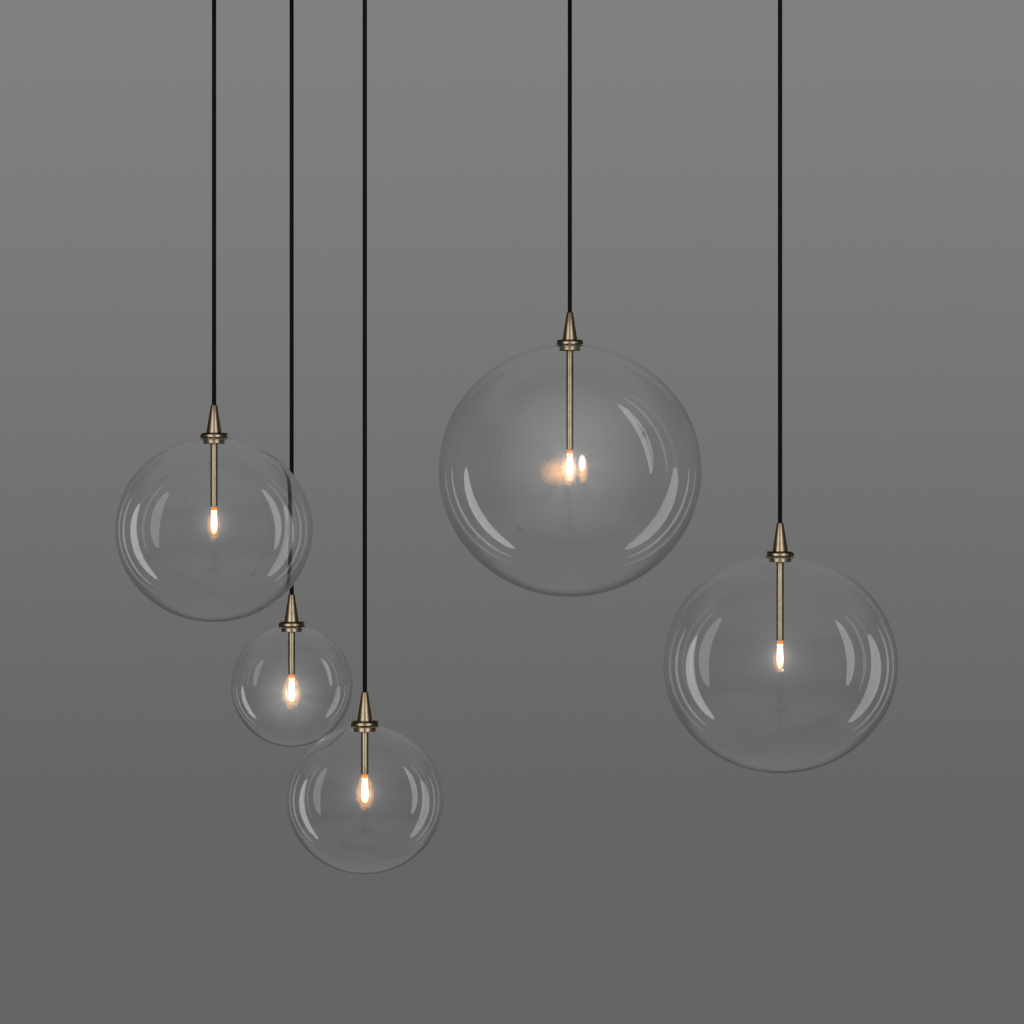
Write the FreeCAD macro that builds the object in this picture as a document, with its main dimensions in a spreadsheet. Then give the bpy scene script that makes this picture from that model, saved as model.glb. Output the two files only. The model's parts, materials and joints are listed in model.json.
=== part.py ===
import FreeCAD, Part
import math
import os

import Sketcher

# A cluster pendant: five clear glass globes, each hung on its own black cord from one ceiling pan.
# Millimetres. The origin is on the ceiling, at the middle of the bracket's upper face; +Z is up.
# Every pendant is drawn about its own axis, with Z = 0 on the lower rim of its brass flange.

PENDANTS = ["a", "b", "c", "d", "e"]
CORDS = [f"cord_{pendant}" for pendant in PENDANTS]
PARTS_FOLDER = "parts"

SIZES = [
    # ceiling pan and bracket
    ("pan_margin_x", 64.0, "ceiling pan beyond the outermost cords along X"),
    ("pan_margin_y", 45.0, "ceiling pan beyond the outermost cords along Y"),
    ("pan_height", 30.0, "ceiling pan, top edge to underside"),
    ("pan_corner", 60.0, "radius of the pan's four upright corners"),
    ("pan_lip", 5.0, "radius of the pan's lower edge"),
    ("pan_wall", 1.5, "sheet of the pan"),
    ("bracket_length", 600.0, "steel bracket along X"),
    ("bracket_width", 70.0, "steel bracket along Y"),
    ("bracket_sheet", 2.0, "steel bracket's thickness"),
    ("fixing_spacing_x", 480.0, "ceiling screw holes along X"),
    ("fixing_spacing_y", 40.0, "ceiling screw holes along Y"),
    ("fixing_hole", 5.5, "ceiling screw hole"),
    ("stud_spacing_x", 560.0, "pan studs along X"),
    ("stud_spacing_y", 48.0, "pan studs along Y"),
    ("stud_diameter", 4.0, "pan stud"),
    ("stud_play", 0.3, "radial free space of a stud in the pan's hole"),
    ("stud_reach", 7.0, "pan stud below the pan's underside"),
    ("cap_nut_diameter", 14.0, "brass cap nut under the pan"),
    ("cap_nut_height", 9.0, "brass cap nut's height"),
    ("cable_hole", 20.0, "hole in the bracket for the supply cable's grommet"),
    ("cable_hole_x", -60.0, "place of that hole"),
    ("cable_hole_y", 20.0, "place of that hole"),
    ("grommet_bore", 10.0, "rubber grommet's bore"),
    ("grommet_flange", 24.0, "rubber grommet's flange"),
    ("grommet_flange_height", 2.0, "rubber grommet's flange below the bracket"),
    ("grommet_play", 0.1, "radial free space of the grommet's sleeve in its hole"),
    ("block_length", 72.0, "terminal block along X"),
    ("block_width", 22.0, "terminal block along Y"),
    ("block_pitch", 12.0, "terminal block, way to way"),
    ("block_ways", 5.0, "terminal block, number of ways"),
    ("block_screw_well", 5.0, "diameter of each terminal screw's well"),
    ("block_screw_depth", 6.0, "depth of each terminal screw's well"),
    ("driver_length", 150.0, "low-voltage transformer along X"),
    ("driver_width", 44.0, "low-voltage transformer along Y"),
    ("driver_height", 20.0, "low-voltage transformer"),
    ("driver_x", 120.0, "transformer's end nearest the terminal block"),
    ("driver_edge", 3.0, "rounding of the transformer's case"),
    ("driver_lead", 2.4, "diameter of the two leads to the terminal block"),
    ("driver_lead_pitch", 10.0, "distance between those two leads"),
    # cord glands in the pan
    ("gland_head", 18.0, "cord gland's head, at the pan"),
    ("gland_height", 10.0, "cord gland's head below the pan"),
    ("gland_wall", 1.75, "cord gland's wall, at its thread and at its mouth"),
    ("gland_thread_length", 8.0, "thread above the pan's underside"),
    ("swing_limit", 6.0, "degrees that a cord swings to each side"),
    ("swing_play", 0.5, "free space round a fully swung cord in the gland's mouth"),
    ("swing_depth", 2.0, "swing pivot below the pan's underside"),
    ("tail_gap", 0.5, "free space between the cord's top and its tail in the pan"),
    ("tail_straight", 1.0, "tail above the gland's thread, before its bend"),
    ("tail_level", 9.0, "tails' level run below the ceiling"),
    ("tail_stop", 0.25, "free space between a tail's end and the terminal block"),
    ("nut_margin", 4.0, "thin hexagon nut across its flats, more than its thread"),
    ("nut_height", 3.0, "thin hexagon nut"),
    # cord, cone and flange
    ("cord_diameter", 5.5, "textile-covered cord"),
    ("cord_clearance", 0.5, "free space round the cord in cone and gland"),
    ("grip_clearance", 0.1, "free space round the cord in its grip"),
    ("cord_gap", 0.3, "free space between the stem's end and the cord's"),
    ("cone_play", 0.5, "free space between the cone and the nut and boss inside it"),
    ("cone_height", 35.5, "cone cover"),
    ("cone_wall", 1.2, "cone cover's wall"),
    ("cone_edge", 0.6, "rounding of the cone's foot and top edge"),
    ("flange_diameter", 37.0, "brass flange on top of the glass"),
    ("flange_height", 6.5, "brass flange"),
    ("flange_edge", 1.4, "rounding of the flange's rim"),
    ("flange_rim", 1.5, "flange's rim round the hollow over the crown of the glass"),
    ("boss_height", 1.2, "boss on the flange"),
    ("grip_skirt_wall", 1.5, "wall of the cord grip's skirt, screwed on the stem"),
    ("grip_skirt_height", 3.9, "cord grip's skirt"),
    ("grip_wall", 2.15, "cord grip's wall above its skirt"),
    ("grip_height", 14.4, "cord grip"),
    ("grip_screw", 2.6, "set screw in the cord grip"),
    # stem, glass retainer and seals
    ("stem_diameter", 10.0, "brass stem"),
    ("neck_depth", 1.0, "depth of the neck turned into the stem for the split retainer"),
    ("stem_lip", 0.7, "stem's wall round the lampholder"),
    ("stem_top", 4.5, "stem above the flange's boss"),
    ("holder_space", 0.7, "lampholder's pocket in the stem, above the lampholder"),
    ("thread_clearance", 0.1, "radial free space of parts that slip over or into the stem"),
    ("retainer_diameter", 29.0, "split retainer below the crown of the glass"),
    ("retainer_height", 4.5, "split retainer"),
    ("retainer_slit", 0.6, "slit between the retainer's halves"),
    ("retainer_edge", 1.0, "rounding of the retainer's rim"),
    ("seal_inset", 0.4, "seals' inner edge beyond the hole in the glass"),
    ("seal_play", 1.5, "upper seal's outer edge inside the flange's rim"),
    ("seal_gap", 0.1, "free space of the seals and the flange's rim to the glass"),
    ("upper_seal", 0.8, "upper seal's thickness at the hole in the glass"),
    ("lower_seal", 0.5, "lower seal's thickness at the retainer's rim"),
    # lampholder and lamp
    ("holder_height", 12.0, "ceramic lampholder"),
    ("holder_recess", 0.3, "lampholder above the stem's lower end"),
    ("pin_pitch", 4.0, "lamp pin to lamp pin"),
    ("pin_diameter", 0.7, "lamp pin"),
    ("pin_length", 8.5, "lamp pin"),
    ("pin_hole", 1.0, "hole for a lamp pin"),
    ("pin_hole_depth", 9.5, "hole for a lamp pin"),
    ("lead_diameter", 1.2, "lead in the stem"),
    ("lead_pitch", 2.8, "distance between the two leads in the stem"),
    ("lead_gap", 0.1, "free space between the cord's end and the leads"),
    ("lead_space", 1.0, "free space round the two leads in the stem's bore"),
    ("lamp_gap", 0.5, "lamp below the stem's end"),
    ("pinch_width", 8.6, "flat pinch of the lamp's capsule"),
    ("pinch_thickness", 3.4, "flat pinch of the lamp's capsule"),
    ("pinch_height", 7.0, "flat pinch of the lamp's capsule"),
    ("capsule_diameter", 12.0, "lamp capsule"),
    ("capsule_length", 30.0, "lamp capsule below its pinch"),
    ("capsule_wall", 1.0, "lamp capsule's wall"),
    ("filament_diameter", 1.6, "lamp filament's coil"),
    ("filament_length", 12.0, "lamp filament's coil"),
    # glass, shared by all five globes
    ("glass_wall", 2.0, "wall of a globe"),
    ("glass_hole", 20.0, "hole in the crown of a globe"),
    # how far a cutting shape runs past what it cuts
    ("overcut", 1.0, "overrun of a slit, a drilling or a hole"),
]

# One row for each pendant: its axis on the ceiling, the depth of its flange's rim,
# the globe's width and height, and the stem that shows below the split retainer.
PENDANT_COLUMNS = ["x", "y", "drop", "globe_width", "globe_height", "stem"]
PENDANT_SIZES = {
    "a": [-356.0, 0.0, 645.0, 250.5, 235.0, 80.0],
    "b": [-265.0, 135.0, 888.5, 159.0, 158.5, 55.5],
    "c": [-159.5, -135.0, 1003.5, 194.5, 184.0, 52.5],
    "d": [97.0, 80.0, 523.5, 339.5, 326.0, 128.0],
    "e": [356.0, -100.0, 794.5, 292.5, 270.5, 97.0],
}

# How near a measured place has to be to count as the place that is looked for.
NEAR = 0.01

doc = FreeCAD.newDocument("cluster_pendant")
sheet = doc.addObject("Spreadsheet::Sheet", "dim")
nodes = []


# ---------------------------------------------------------------- the sheet of sizes

def write_size(row, alias, value, meaning):
    """One row of the sheet: what it is, its plain number, and the name it goes by."""
    sheet.set(f"A{row}", meaning)
    sheet.set(f"B{row}", str(value))
    sheet.setAlias(f"B{row}", alias)


def fill_sheet():
    """Writes the shared sizes, then each pendant's own."""
    row = 1
    for alias, value, meaning in SIZES:
        write_size(row, alias, value, meaning)
        row += 1
    for pendant in PENDANTS:
        for name, value in zip(PENDANT_COLUMNS, PENDANT_SIZES[pendant]):
            write_size(row, f"{name}_{pendant}", value, f"pendant {pendant}: {name}")
            row += 1
    doc.recompute()


def size(expression):
    """The present value of an expression over the sheet, as a plain number."""
    found = sheet.evalExpression(expression)
    return float(getattr(found, "Value", found))


# ---------------------------------------------------------------- helpers for the document's objects

def bind(thing, **expressions):
    """Binds properties to expressions; two underscores stand for a dot."""
    for name, expression in expressions.items():
        thing.setExpression(name.replace("__", "."), expression)


def place(thing, x="0", y="0", z="0"):
    """Puts an object at a place worked out from the sheet."""
    bind(thing, Placement__Base__x=x, Placement__Base__y=y, Placement__Base__z=z)


def node(thing, label):
    """Names a finished sub-part; its label is the name of its file."""
    thing.Label = label
    nodes.append(thing)
    return thing


def hang(thing, pendant):
    """Puts a pendant's sub-part on the pendant's own axis, at its own depth."""
    place(thing, f"dim.x_{pendant}", f"dim.y_{pendant}", f"-dim.drop_{pendant}")


def origin_plane(body, role):
    """A body's own origin plane, found by its role."""
    return [f for f in body.Origin.OriginFeatures if f.Role == role][0]


def new_sketch(body, name, role):
    """An empty sketch on one of the body's origin planes."""
    sketch = body.newObject("Sketcher::SketchObject", name)
    sketch.AttachmentSupport = [(origin_plane(body, role), "")]
    sketch.MapMode = "FlatFace"
    return sketch


def hold(sketch, kind, geometry, point, expression):
    """Holds one coordinate of a sketch point at an expression's value."""
    index = sketch.addConstraint(
        Sketcher.Constraint(kind, -1, 1, geometry, point, size(expression))
    )
    sketch.setExpression(f"Constraints[{index}]", expression)


def outline(body, name, corners, role="XZ_Plane"):
    """A closed outline of straight lines whose corners are pairs of expressions."""
    sketch = new_sketch(body, name, role)
    places = [FreeCAD.Vector(size(u), size(v), 0) for u, v in corners]
    count = len(corners)
    for n in range(count):
        sketch.addGeometry(Part.LineSegment(places[n], places[(n + 1) % count]))
    for n in range(count):
        sketch.addConstraint(Sketcher.Constraint("Coincident", n, 2, (n + 1) % count, 1))
    for n, (u, v) in enumerate(corners):
        hold(sketch, "DistanceX", n, 1, u)
        hold(sketch, "DistanceY", n, 1, v)
    return sketch


def rectangle(body, name, left, right, front, back):
    """A rectangle on the body's XY plane between two X and two Y expressions."""
    corners = [(left, front), (right, front), (right, back), (left, back)]
    return outline(body, name, corners, "XY_Plane")


def circles(body, name, rounds, role="XY_Plane"):
    """A sketch of circles, each given as x, y and diameter expressions."""
    sketch = new_sketch(body, name, role)
    for n, (x, y, diameter) in enumerate(rounds):
        centre = FreeCAD.Vector(size(x), size(y), 0)
        circle = Part.Circle(centre, FreeCAD.Vector(0, 0, 1), size(diameter) / 2)
        sketch.addGeometry(circle)
        hold(sketch, "DistanceX", n, 3, x)
        hold(sketch, "DistanceY", n, 3, y)
        index = sketch.addConstraint(Sketcher.Constraint("Diameter", n, size(diameter)))
        sketch.setExpression(f"Constraints[{index}]", diameter)
    return sketch


def turned(body, name, kind, sketch):
    """Turns a sketch round the body's Z axis: a Revolution adds, a Groove takes away."""
    feature = body.newObject(f"PartDesign::{kind}", name)
    feature.Profile = sketch
    feature.ReferenceAxis = (sketch, ["V_Axis"])
    feature.Angle = 360
    return feature


def lathe(name, corners):
    """A body turned from one closed outline of radius and height expressions."""
    body = doc.addObject("PartDesign::Body", name)
    turned(body, f"{name}_turning", "Revolution", outline(body, f"{name}_outline", corners))
    return body


def round_rims(body, name, rims, radius):
    """Rounds circular edges, each rim given as radius and height expressions."""
    doc.recompute()
    base = body.Tip
    found = []
    for n, edge in enumerate(base.Shape.Edges, 1):
        if not isinstance(edge.Curve, Part.Circle):
            continue
        for rim_radius, rim_height in rims:
            same_radius = abs(edge.Curve.Radius - size(rim_radius)) < NEAR
            same_height = abs(edge.Curve.Center.z - size(rim_height)) < NEAR
            if same_radius and same_height:
                found.append(f"Edge{n}")
    fillet = body.newObject("PartDesign::Fillet", name)
    fillet.Base = (base, found)
    fillet.Radius = size(radius)
    bind(fillet, Radius=radius)
    return fillet


def rod(name, radius, height, x="0", y="0", z="0"):
    """An upright cylinder from a height upwards."""
    thing = doc.addObject("Part::Cylinder", name)
    bind(thing, Radius=radius, Height=height)
    place(thing, x, y, z)
    return thing


def block(name, length, width, height, x="0", y="0", z="0"):
    """A box centred on x and y, from a height upwards."""
    thing = doc.addObject("Part::Box", name)
    bind(thing, Length=length, Width=width, Height=height)
    place(thing, f"{x} - ({length}) / 2", f"{y} - ({width}) / 2", z)
    return thing


def cut(name, base, tool):
    """One shape less another."""
    thing = doc.addObject("Part::Cut", name)
    thing.Base = base
    thing.Tool = tool
    return thing


def fuse(name, *things):
    """Several shapes as one solid."""
    thing = doc.addObject("Part::MultiFuse", name)
    thing.Shapes = list(things)
    return thing


def group(name, *things):
    """Separate solids that share one node."""
    thing = doc.addObject("Part::Compound", name)
    thing.Links = list(things)
    return thing


def nut_corner(thread):
    """Corner radius of a thin hexagon nut on a thread, given the thread's radius."""
    return f"((2 * {thread} + dim.nut_margin) / 2 / cos(30 deg))"


def hexagon_nut(name, thread, x="0", y="0", z="0"):
    """A thin hexagon nut for a gland's or a stem's thread, given the thread's radius."""
    prism = doc.addObject("Part::Prism", f"{name}_blank")
    prism.Polygon = 6
    bind(prism, Circumradius=nut_corner(thread), Height="dim.nut_height")
    bore = rod(f"{name}_bore", f"{thread} + dim.thread_clearance", "dim.nut_height")
    nut = cut(name, prism, bore)
    place(nut, x, y, z)
    return nut


# ---------------------------------------------------------------- shared places, as expressions

CORD_RADIUS = "dim.cord_diameter / 2"
CORD_HOLE = f"({CORD_RADIUS} + dim.cord_clearance)"
GLAND_THREAD = f"({CORD_HOLE} + dim.gland_wall)"
GLAND_TOP = "(dim.gland_thread_length - dim.pan_height)"
STEM_RADIUS = "dim.stem_diameter / 2"
NECK_RADIUS = f"({STEM_RADIUS} - dim.neck_depth)"
HOLDER_RADIUS = f"({STEM_RADIUS} - dim.stem_lip - dim.thread_clearance)"
PAN_UNDER = "-dim.pan_height"
PAN_FLOOR = "-(dim.pan_height - dim.pan_wall)"
BRACKET_UNDER = "-dim.bracket_sheet"
PIVOT_Z = "-(dim.pan_height + dim.swing_depth)"
FLANGE_TOP = "dim.flange_height"
BOSS_TOP = "(dim.flange_height + dim.boss_height)"
STEM_TOP = f"({BOSS_TOP} + dim.stem_top)"
GRIP_FOOT = f"({BOSS_TOP} + dim.nut_height + dim.thread_clearance)"
CORD_END = f"({STEM_TOP} + dim.cord_gap)"
TAIL_BEND = f"(-dim.tail_level - {GLAND_TOP} - dim.tail_straight)"
CONE_TOP = f"({FLANGE_TOP} + dim.cone_height)"
CONE_NARROW = f"({CORD_HOLE} + dim.cone_wall)"
RECESS_RADIUS = "(dim.flange_diameter / 2 - dim.flange_rim)"
SEAL_INSIDE = "(dim.glass_hole / 2 + dim.seal_inset)"


def cone_foot():
    """The cone's outer radius at its foot: its straight wall just clears the nut inside it."""
    share = "((dim.boss_height + dim.nut_height) / dim.cone_height)"
    clear = f"({nut_corner(STEM_RADIUS)} + dim.cone_wall + dim.cone_play)"
    return f"(({clear} - {CONE_NARROW} * {share}) / (1 - {share}))"


def boss_radius():
    """The boss that centres the cone, clear of its sloping wall."""
    slope = f"(({cone_foot()} - {CONE_NARROW}) / dim.cone_height)"
    return f"({cone_foot()} - dim.cone_wall - {slope} * dim.boss_height - dim.cone_play)"


def half_width(pendant):
    return f"(dim.globe_width_{pendant} / 2)"


def half_height(pendant):
    return f"(dim.globe_height_{pendant} / 2)"


def crown_radius(pendant):
    """Outer radius of the arc over a globe's crown.

    A globe's outline is an oval of four arcs that meet at 45 degrees, so its crown and its
    side differ in radius by the difference of the half axes over (2 cos 45 - 1).
    """
    a = half_width(pendant)
    b = half_height(pendant)
    return f"({b} + ({a} - {b}) / (2 * cos(45 deg) - 1) * sin(45 deg))"


def side_radius(pendant):
    """Outer radius of the arc round a globe's widest part."""
    a = half_width(pendant)
    b = half_height(pendant)
    return f"({a} - ({a} - {b}) / (2 * cos(45 deg) - 1) * cos(45 deg))"


def fall(radius, crown):
    """How far an arc of the crown's radius falls from its top to a distance from the axis."""
    return f"({crown} - sqrt({crown} ^ 2 - ({radius}) ^ 2))"


def glass_top(pendant):
    """Height of the globe's crown, so that the flange's rim just clears the glass."""
    return f"({fall(RECESS_RADIUS, crown_radius(pendant))} - dim.seal_gap)"


def inner_crown(pendant):
    return f"({crown_radius(pendant)} - dim.glass_wall)"


def recess_depth(pendant):
    """The hollow under the flange holds the crown of the glass and the upper seal."""
    hole_edge = f"{glass_top(pendant)} - {fall(SEAL_INSIDE, crown_radius(pendant))}"
    return f"({hole_edge} + dim.seal_gap + dim.upper_seal)"


def retainer_top(pendant):
    """The retainer's rim hangs one lower seal below the inside of the glass."""
    drop = fall("dim.retainer_diameter / 2", inner_crown(pendant))
    return f"({glass_top(pendant)} - dim.glass_wall - {drop} - dim.lower_seal)"


def stem_end(pendant):
    return f"({retainer_top(pendant)} - dim.retainer_height - dim.stem_{pendant})"


def lamp_top(pendant):
    return f"({stem_end(pendant)} - dim.lamp_gap)"


# ---------------------------------------------------------------- ceiling pan and what it holds

def make_pan():
    """The satin brass pan: a rounded tray, open at the ceiling, with holes for glands and studs."""
    body = doc.addObject("PartDesign::Body", "pan")
    left = "dim.x_a - dim.pan_margin_x"
    right = "dim.x_e + dim.pan_margin_x"
    front = "dim.y_c - dim.pan_margin_y"
    back = "dim.y_b + dim.pan_margin_y"
    plan = rectangle(body, "pan_plan", left, right, front, back)
    pad = body.newObject("PartDesign::Pad", "pan_blank")
    pad.Profile = plan
    pad.Reversed = True
    bind(pad, Length="dim.pan_height")
    doc.recompute()
    upright = []
    for n, edge in enumerate(pad.Shape.Edges, 1):
        if edge.BoundBox.ZLength > size("dim.pan_height") / 2:
            upright.append(f"Edge{n}")
    corners = body.newObject("PartDesign::Fillet", "pan_corners")
    corners.Base = (pad, upright)
    bind(corners, Radius="dim.pan_corner")
    doc.recompute()
    lower = []
    for n, edge in enumerate(corners.Shape.Edges, 1):
        if edge.BoundBox.ZMax < size(PAN_UNDER) + NEAR:
            lower.append(f"Edge{n}")
    lip = body.newObject("PartDesign::Fillet", "pan_lip")
    lip.Base = (corners, lower)
    bind(lip, Radius="dim.pan_lip")
    doc.recompute()
    top = []
    for n, face in enumerate(lip.Shape.Faces, 1):
        if face.BoundBox.ZMin > -NEAR:
            top.append(f"Face{n}")
    tray = body.newObject("PartDesign::Thickness", "pan_tray")
    tray.Base = (lip, top)
    tray.Reversed = True
    bind(tray, Value="dim.pan_wall")
    holes = []
    for pendant in PENDANTS:
        bore = f"2 * ({GLAND_THREAD} + dim.thread_clearance)"
        holes.append((f"dim.x_{pendant}", f"dim.y_{pendant}", bore))
    for x, y in stud_places():
        holes.append((x, y, "dim.stud_diameter + 2 * dim.stud_play"))
    pocket = body.newObject("PartDesign::Pocket", "pan_holes")
    pocket.Profile = circles(body, "pan_hole_plan", holes)
    pocket.Type = "ThroughAll"
    return node(body, "canopy_pan")


def stud_places():
    """The four studs that hold the pan, as x and y expressions."""
    x = "dim.stud_spacing_x / 2"
    y = "dim.stud_spacing_y / 2"
    return [(f"{sx}{x}", f"{sy}{y}") for sx in ("-", "") for sy in ("-", "")]


def make_bracket():
    """The steel bracket on the ceiling: four screw holes, the supply cable's hole."""
    body = doc.addObject("PartDesign::Body", "bracket")
    x = "dim.bracket_length / 2"
    y = "dim.bracket_width / 2"
    plan = rectangle(body, "bracket_plan", f"-{x}", x, f"-{y}", y)
    pad = body.newObject("PartDesign::Pad", "bracket_plate")
    pad.Profile = plan
    pad.Reversed = True
    bind(pad, Length="dim.bracket_sheet")
    x = "dim.fixing_spacing_x / 2"
    y = "dim.fixing_spacing_y / 2"
    holes = [(f"{sx}{x}", f"{sy}{y}", "dim.fixing_hole") for sx in ("-", "") for sy in ("-", "")]
    holes.append(("dim.cable_hole_x", "dim.cable_hole_y", "dim.cable_hole"))
    pocket = body.newObject("PartDesign::Pocket", "bracket_holes")
    pocket.Profile = circles(body, "bracket_hole_plan", holes)
    pocket.Type = "ThroughAll"
    return node(body, "ceiling_bracket")


def make_studs_and_nuts():
    """Four studs welded under the bracket, and the cap nuts that draw the pan up on them."""
    studs = []
    nuts = []
    length = "dim.pan_height + dim.stud_reach - dim.bracket_sheet"
    for n, (x, y) in enumerate(stud_places(), 1):
        stud_foot = f"{PAN_UNDER} - dim.stud_reach"
        studs.append(rod(f"stud_{n}", "dim.stud_diameter / 2", length, x, y, stud_foot))
        foot = f"{PAN_UNDER} - dim.cap_nut_height"
        blank = rod(f"cap_nut_{n}_blank", "dim.cap_nut_diameter / 2", "dim.cap_nut_height", x, y, foot)
        bore_radius = "dim.stud_diameter / 2 + dim.thread_clearance"
        bore_foot = f"{stud_foot} - dim.stud_play"
        bore = rod(f"cap_nut_{n}_bore", bore_radius, "dim.cap_nut_height", x, y, bore_foot)
        nuts.append(cut(f"cap_nut_{n}", blank, bore))
    node(group("studs", *studs), "pan_studs")
    node(group("cap_nuts", *nuts), "pan_cap_nuts")


def make_grommet():
    """The rubber grommet that lines the supply cable's hole."""
    sleeve = "dim.cable_hole / 2 - dim.grommet_play"
    bore = "dim.grommet_bore / 2"
    rim = "dim.grommet_flange / 2"
    foot = f"{BRACKET_UNDER} - dim.grommet_flange_height"
    corners = [
        (bore, foot),
        (rim, foot),
        (rim, BRACKET_UNDER),
        (sleeve, BRACKET_UNDER),
        (sleeve, "0"),
        (bore, "0"),
    ]
    body = lathe("grommet", corners)
    place(body, "dim.cable_hole_x", "dim.cable_hole_y")
    return node(body, "cable_grommet")


def make_terminal_block():
    """The terminal block under the bracket, as deep as brings its ways level with the tails."""
    body = doc.addObject("PartDesign::Body", "terminals")
    x = "dim.block_length / 2"
    y = "dim.block_width / 2"
    height = f"2 * (dim.tail_level + {BRACKET_UNDER})"
    pad = body.newObject("PartDesign::Pad", "terminals_case")
    pad.Profile = rectangle(body, "terminals_plan", f"-{x}", x, f"-{y}", y)
    bind(pad, Length=height)
    first = "-dim.block_pitch * (dim.block_ways - 1) / 2"
    well = circles(body, "terminals_well_plan", [(first, "0", "dim.block_screw_well")])
    pocket = body.newObject("PartDesign::Pocket", "terminals_well")
    pocket.Profile = well
    pocket.Reversed = True
    bind(pocket, Length="dim.block_screw_depth")
    row = body.newObject("PartDesign::LinearPattern", "terminals_wells")
    row.Originals = [pocket]
    row.Direction = (well, ["H_Axis"])
    bind(row, Length="dim.block_pitch * (dim.block_ways - 1)", Occurrences="dim.block_ways")
    body.Tip = row
    place(body, z=f"{BRACKET_UNDER} - {height}")
    return node(body, "terminal_block")


def make_transformer():
    """The low-voltage transformer for the five lamps, and its two leads to the terminal block."""
    foot = f"{BRACKET_UNDER} - dim.driver_height"
    middle = "dim.driver_x + dim.driver_length / 2"
    sides = ("dim.driver_length", "dim.driver_width", "dim.driver_height")
    case = block("driver_blank", *sides, middle, "0", foot)
    doc.recompute()
    rounded = doc.addObject("Part::Fillet", "driver_case")
    rounded.Base = case
    radius = size("dim.driver_edge")
    edges = []
    for n, edge in enumerate(case.Shape.Edges, 1):
        below_top = edge.BoundBox.ZMax < size(BRACKET_UNDER) - NEAR
        upright = edge.BoundBox.ZLength > size("dim.driver_height") / 2
        if below_top or upright:
            edges.append((n, radius, radius))
    rounded.Edges = edges
    leads = []
    for n, side in enumerate(("-", ""), 1):
        lead = doc.addObject("Part::Cylinder", f"driver_lead_{n}")
        lead.Placement.Rotation = FreeCAD.Rotation(FreeCAD.Vector(0, 1, 0), 90)
        bind(lead, Radius="dim.driver_lead / 2", Height="dim.driver_x - dim.block_length / 2")
        place(lead, "dim.block_length / 2", f"{side}dim.driver_lead_pitch / 2", "-dim.tail_level")
        leads.append(lead)
    return node(group("driver", rounded, *leads), "transformer")


def make_gland(pendant):
    """A turned brass cord gland: head below the pan, thread through it, and a bell mouth."""
    foot = f"{PAN_UNDER} - dim.gland_height"
    reach = "(dim.gland_height - dim.swing_depth) * tan(dim.swing_limit * 1 deg)"
    bell = f"{CORD_HOLE} + {reach} + dim.swing_play"
    mouth = f"{bell} + dim.gland_wall"
    corners = [
        (CORD_HOLE, PIVOT_Z),
        (bell, foot),
        (mouth, foot),
        ("dim.gland_head / 2", PAN_UNDER),
        (GLAND_THREAD, PAN_UNDER),
        (GLAND_THREAD, GLAND_TOP),
        (CORD_HOLE, GLAND_TOP),
    ]
    body = lathe(f"gland_{pendant}", corners)
    round_rims(body, f"gland_{pendant}_rims", [(mouth, foot)], "dim.cone_edge")
    place(body, f"dim.x_{pendant}", f"dim.y_{pendant}")
    return body


# Where each cord's tail enters the terminal block: the side of the block and its place there.
# A tail comes in at a slant, so its end keeps a cord's radius and more off the block.
BLOCK_END = f"(dim.block_length / 2 + {CORD_RADIUS} + dim.tail_stop)"
BLOCK_SIDE = f"(dim.block_width / 2 + {CORD_RADIUS} + dim.tail_stop)"
TAIL_ENTRIES = {
    "a": (f"-{BLOCK_END}", "0"),
    "b": ("-dim.block_pitch", BLOCK_SIDE),
    "c": ("0", f"-{BLOCK_SIDE}"),
    "d": ("dim.block_pitch", BLOCK_SIDE),
    "e": ("2 * dim.block_pitch", f"-{BLOCK_SIDE}"),
}


def make_tail(pendant):
    """A cord's tail in the pan: up out of the gland, one bend, then level to the terminals."""
    entry_x, entry_y = TAIL_ENTRIES[pendant]
    run_x = f"({entry_x} - dim.x_{pendant})"
    run_y = f"({entry_y} - dim.y_{pendant})"
    foot = f"({PIVOT_Z} + dim.tail_gap)"
    bend_z = f"(-dim.tail_level - {TAIL_BEND})"
    rise = rod(f"tail_rise_{pendant}", CORD_RADIUS, f"{bend_z} - {foot}", "0", "0", foot)
    elbow = doc.addObject("Part::Torus", f"tail_bend_{pendant}")
    elbow.Angle3 = 90
    up = FreeCAD.Vector(0, 0, 1)
    back = FreeCAD.Vector(-1, 0, 0)
    side = FreeCAD.Vector(0, -1, 0)
    elbow.Placement.Rotation = FreeCAD.Rotation(up, back, side, "XYZ")
    bind(elbow, Radius1=TAIL_BEND, Radius2=CORD_RADIUS)
    place(elbow, TAIL_BEND, "0", bend_z)
    level = doc.addObject("Part::Cylinder", f"tail_level_{pendant}")
    level.Placement.Rotation = FreeCAD.Rotation(FreeCAD.Vector(0, 1, 0), 90)
    bind(level, Radius=CORD_RADIUS, Height=f"sqrt({run_x} ^ 2 + {run_y} ^ 2) - {TAIL_BEND}")
    place(level, TAIL_BEND, "0", "-dim.tail_level")
    tail = fuse(f"tail_{pendant}", rise, elbow, level)
    tail.Placement.Rotation = FreeCAD.Rotation(up, 0)
    bind(tail, Placement__Rotation__Angle=f"atan2({run_y}; {run_x})")
    place(tail, f"dim.x_{pendant}", f"dim.y_{pendant}")
    return tail


def make_cord_exits():
    """Glands, their nuts and the cord tails: five of each, one node for each kind."""
    glands = [make_gland(pendant) for pendant in PENDANTS]
    nuts = []
    for pendant in PENDANTS:
        axis = (f"dim.x_{pendant}", f"dim.y_{pendant}")
        nuts.append(hexagon_nut(f"gland_nut_{pendant}", GLAND_THREAD, *axis, PAN_FLOOR))
    tails = [make_tail(pendant) for pendant in PENDANTS]
    node(group("glands", *glands), "cord_glands")
    node(group("gland_nuts", *nuts), "gland_locknuts")
    node(group("tails", *tails), "cord_tails")


# ---------------------------------------------------------------- one pendant

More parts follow.
